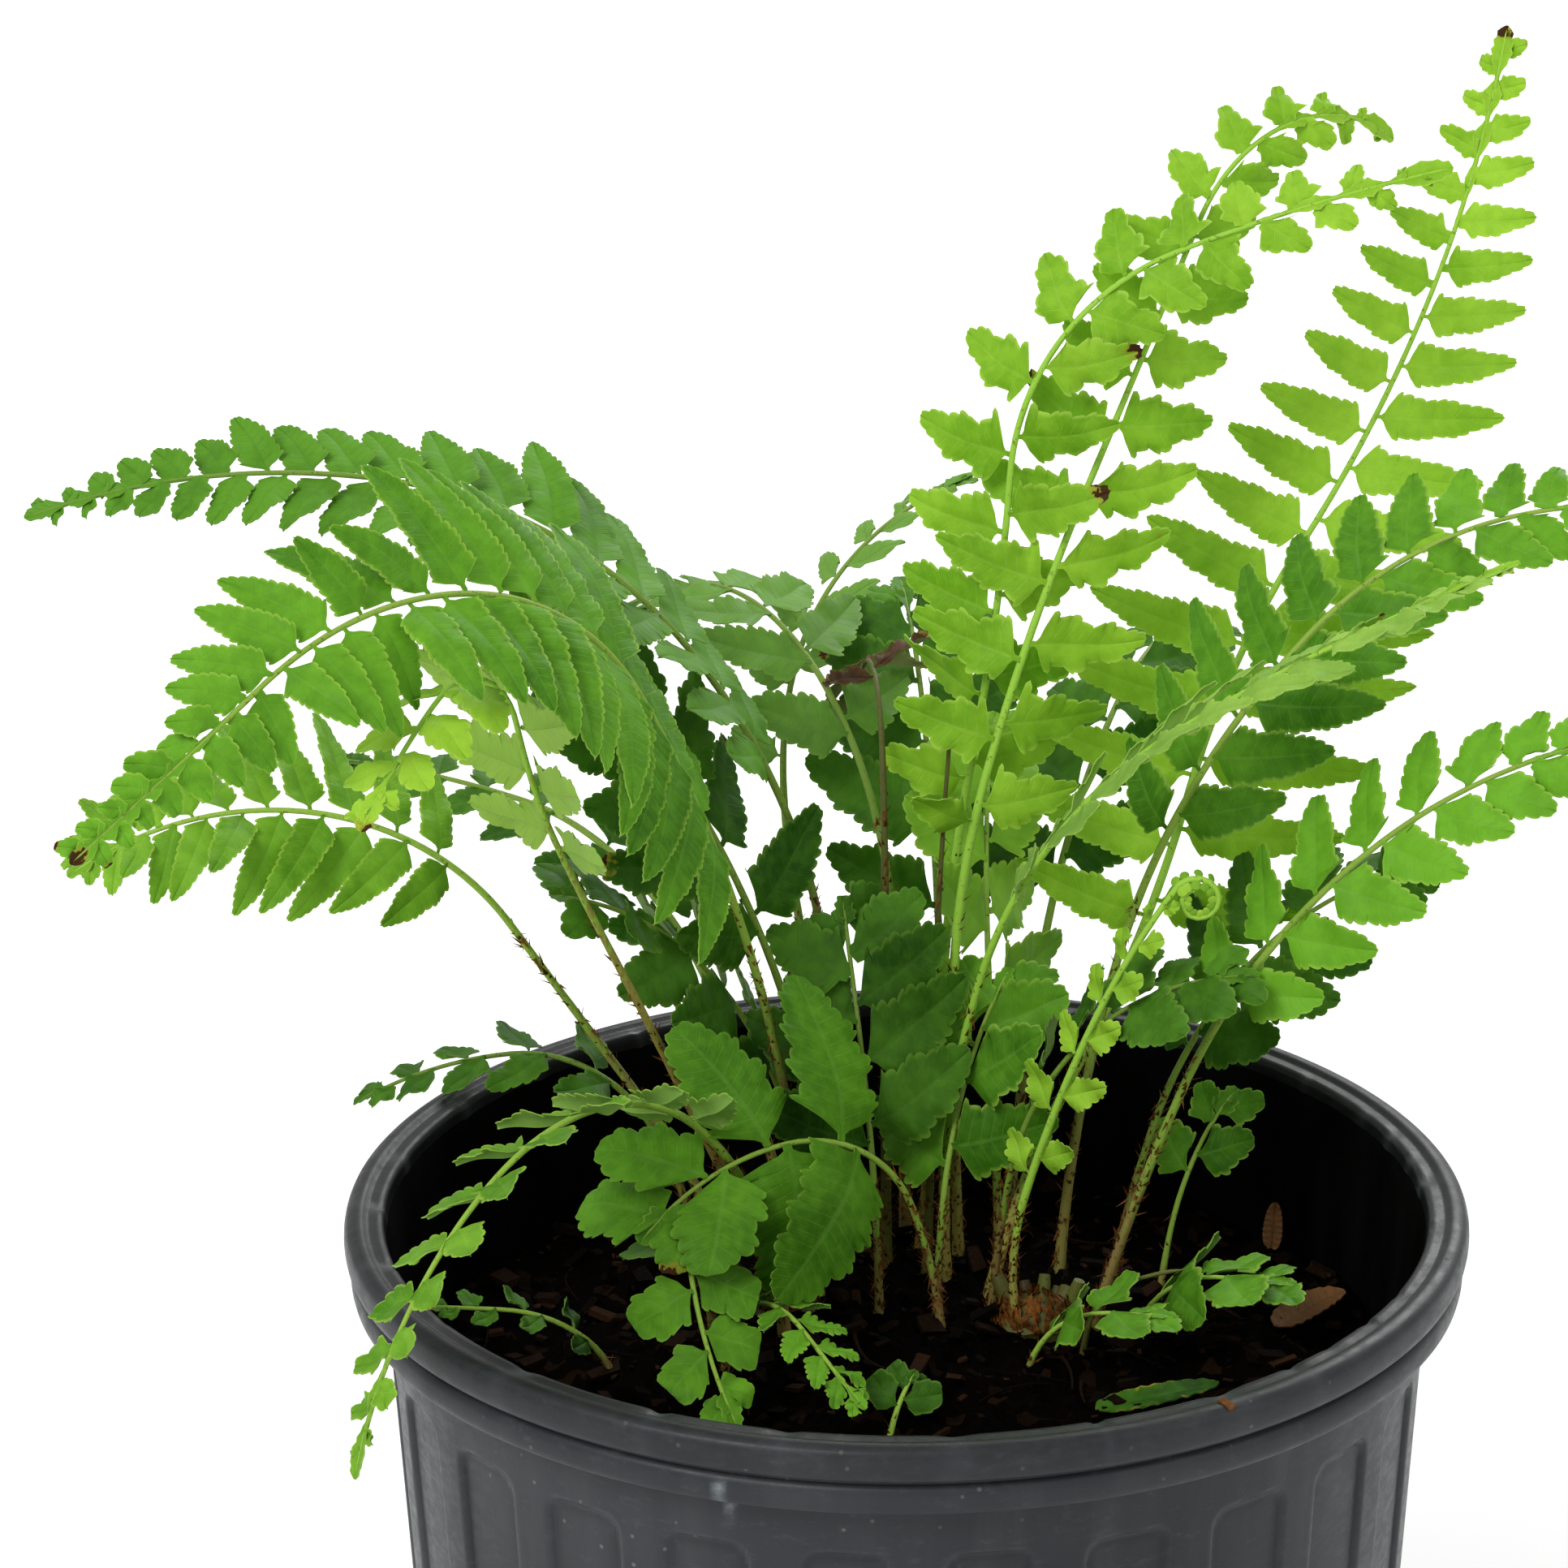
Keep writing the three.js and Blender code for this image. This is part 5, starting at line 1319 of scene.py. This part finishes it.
CROWNS = [
    dict(name="crown_right", at=(34, 22), size=(15, 10, 8), seed=11),
    dict(name="crown_left", at=(-32, 34), size=(13, 10, 7), seed=23),
]
CROWN_SCALES = 230
CROWN_STUBS = 7


def add_crown_scale(shell, centre, size, draw):
    """One keeled scale that lies up the side of a crown."""
    angle, lean = TURN * draw(), math.acos(draw() * 0.95)
    out = vec(math.sin(lean) * math.cos(angle), math.sin(lean) * math.sin(angle), math.cos(lean))
    root = centre + out * size * 0.84
    uphill = vec(0, 0, 1) - out * out[2]
    ahead = unit(uphill + out * (0.1 + 0.3 * draw()) + vec(draw() - 0.5, draw() - 0.5, 0) * 0.5)
    wide = unit(np.cross(ahead, out) + vec(1e-6, 0, 0)) * (0.5 + 0.7 * draw())
    length = 2.0 + 2.0 * draw()
    mid = root + ahead * length * 0.55 + out * 0.35
    corners = [root + wide, root - wide, mid - wide * 0.8, mid + wide * 0.8, root + ahead * length,
               root - out * 0.5, mid - out * 0.35]
    quads = np.array([[0, 3, 2, 1], [0, 5, 6, 3], [5, 1, 2, 6]])
    triangles = np.array([[3, 4, 2], [3, 6, 4], [6, 2, 4], [0, 1, 5]])
    shell.add(corners, [quads, triangles], SCALE_SLOT, None, (draw(), 0, 1, 0))


def add_crown_stub(shell, centre, size, draw):
    """The short base of an old stem."""
    out = towards(TURN * draw(), 0)
    foot = centre + out * size * vec(0.55, 0.55, 1) + vec(0, 0, size[2] * 0.45)
    lean = unit(vec(0, 0, 1) + out * (0.25 + 0.5 * draw()))
    side = unit(np.cross(lean, out))
    steps = np.linspace(0, 1, 5)
    tall = 4 + 5 * draw()
    centres = foot + outer(steps * tall, lean)
    thick = (1.5 + 0.7 * draw()) * np.array([1.15, 1.0, 0.95, 0.9, 0.75])
    up = np.cross(lean, side)
    add_tube(shell, centres, side, up, thick, thick, STEM_SLOT, (draw(), 0, 1, 0), around=8)


def make_crown(crown):
    """A clump of old stem bases: an uneven core under layers of scales and short stubs."""
    draw = random.Random(crown["seed"]).random
    shell = Shell()
    centre = vec(*crown["at"], SOIL_Z + 3)
    size = np.array(crown["size"], float)
    rows, around = 14, 24
    tilt = np.linspace(0.06, math.pi - 0.06, rows)
    turn = angles_round(around)
    x = outer(np.sin(tilt), np.cos(turn))
    y = outer(np.sin(tilt), np.sin(turn))
    z = np.broadcast_to(np.cos(tilt)[:, None], (rows, around))
    lump = 0.84 + 0.1 * np.sin(x * 9 + 1) * np.sin(y * 8) + 0.05 * np.sin(z * 17)
    points = centre + np.stack([x, y, z], axis=2) * size * lump[..., None]
    faces = turned_tube_faces(rows, around)
    shell.add(points.reshape(-1, 3), faces, STEM_SLOT, None, (0.4, 0, 1, 0))
    for _ in range(CROWN_SCALES):
        add_crown_scale(shell, centre, size, draw)
    for _ in range(CROWN_STUBS):
        add_crown_stub(shell, centre, size, draw)
    shell.piece([LEAVES["dead"], STEMS["dead"], SCALES], crown["name"], "crown")


for crown in CROWNS:
    make_crown(crown)

# Loose pieces. lift: their slope in degrees. hue: how light they are. curl: how much they cup.
FALLEN = [
    dict(name="leaf_brown", heading=30, length=22, width=11, lift=12, tone="dead", hue=1.0, curl=0.9),
    dict(name="leaf_green_fallen", heading=12, length=32, width=10, lift=6, tone="green",
         hue=0.05, curl=0.35),
    dict(name="chip_upright", heading=70, length=13, width=5, lift=74, tone="dead", hue=0.6, curl=0.2),
]


def make_fallen(piece):
    """A loose leaf with teeth, a midrib and a curled edge, where its solid lies."""
    low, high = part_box(piece["name"])
    centre = np.array((Vector(low) + Vector(high)) / 2) / MM + vec(0, 0, 0.6)
    heading, lift = math.radians(piece["heading"]), math.radians(piece["lift"])
    axis = towards(heading, lift)
    across = vec(-math.sin(heading), math.cos(heading), 0)
    face = np.cross(axis, across)
    rows, columns = 37, 9
    u = np.linspace(-1, 1, rows)
    c = np.linspace(-1, 1, columns)
    outline = np.sqrt(np.maximum(1 - np.abs(u) ** 2.4, 0)) * (1 - 0.18 * u) + 0.02
    outline = outline * (1 + 0.03 * np.sin(u * 33) + 0.015 * np.sin(u * 71 + 1))
    half = piece["width"] / 2 * outline
    long = outer(u * piece["length"] / 2, np.ones(columns))
    wide = outer(half, c)
    cup = 0.9 * c[None] ** 2 * half[:, None] * 0.25
    curl = piece["curl"] * (cup + 0.35 * np.sin(u * 2.4 + 0.5)[:, None])
    vein = 0.18 * np.sin(u * 26)[:, None] * np.abs(c)[None] - 0.35 * np.exp(-(c[None] / 0.12) ** 2)
    rise = curl + vein
    spot = centre + long[..., None] * axis + wide[..., None] * across + rise[..., None] * face
    upper = (spot + face * 0.2).reshape(-1, 3)
    lower = (spot - face * 0.2).reshape(-1, 3)
    faces = blade_faces(rows, columns)
    grid_c = np.broadcast_to(c, (rows, columns))
    grid_u = np.broadcast_to(u[:, None], (rows, columns))
    phase = grid_u * 5 + 20 + (1 - np.abs(grid_c))
    veins = point_rows(phase, grid_c, grid_u)
    dry = smoothstep(np.abs(grid_c), 0.5, 1.3) * (0.5 if piece["tone"] == "green" else 0.2)
    tint = point_rows(piece["hue"], 0, dry, 0)
    shell = Shell()
    shell.add(np.concatenate([upper, lower]), [faces], LEAF_SLOT,
              np.concatenate([veins, veins]), np.concatenate([tint, tint]))
    slot = "dead" if piece["tone"] == "dead" else "leaf_" + piece["tone"]
    shell.piece([LEAVES["dark" if piece["tone"] == "green" else piece["tone"]]], piece["name"], slot)


for piece in FALLEN:
    make_fallen(piece)


# Studio: a pale floor, a white surround and soft lights.

def make_floor():
    mesh = bpy.data.meshes.new("floor")
    reach, z = 14.0, -0.001
    corners = [(-reach, -reach, z), (reach, -reach, z), (reach, reach, z), (-reach, reach, z)]
    mesh.from_pydata(corners, [], [(0, 1, 2, 3)])
    mesh.materials.append(floor_material())
    made = bpy.data.objects.new("floor", mesh)
    bpy.context.scene.collection.objects.link(made)


def soft_light(name, place, target, size, power, colour=(1, 1, 1)):
    data = bpy.data.lights.new(name, "AREA")
    data.shape = "DISK"
    data.size = size
    data.energy = power
    data.color = colour
    made = bpy.data.objects.new(name, data)
    bpy.context.scene.collection.objects.link(made)
    made.location = place
    made.rotation_euler = (Vector(target) - Vector(place)).to_track_quat("-Z", "Y").to_euler()


make_floor()
soft_light("key", (-1.6, -1.9, 2.6), (0, 0, 0.3), 1.6, 70)
soft_light("fill", (2.2, -1.2, 1.5), (0, 0, 0.3), 1.8, 6)
soft_light("back", (0.9, 2.4, 2.2), (0, 0, 0.35), 1.8, 60)

world = bpy.data.worlds.new("surround")
world.use_nodes = True
background = world.node_tree.nodes["Background"]
background.inputs["Color"].default_value = (1.0, 1.0, 1.0, 1)
background.inputs["Strength"].default_value = 0.75
bpy.context.scene.world = world
bpy.context.scene.view_settings.view_transform = "Standard"
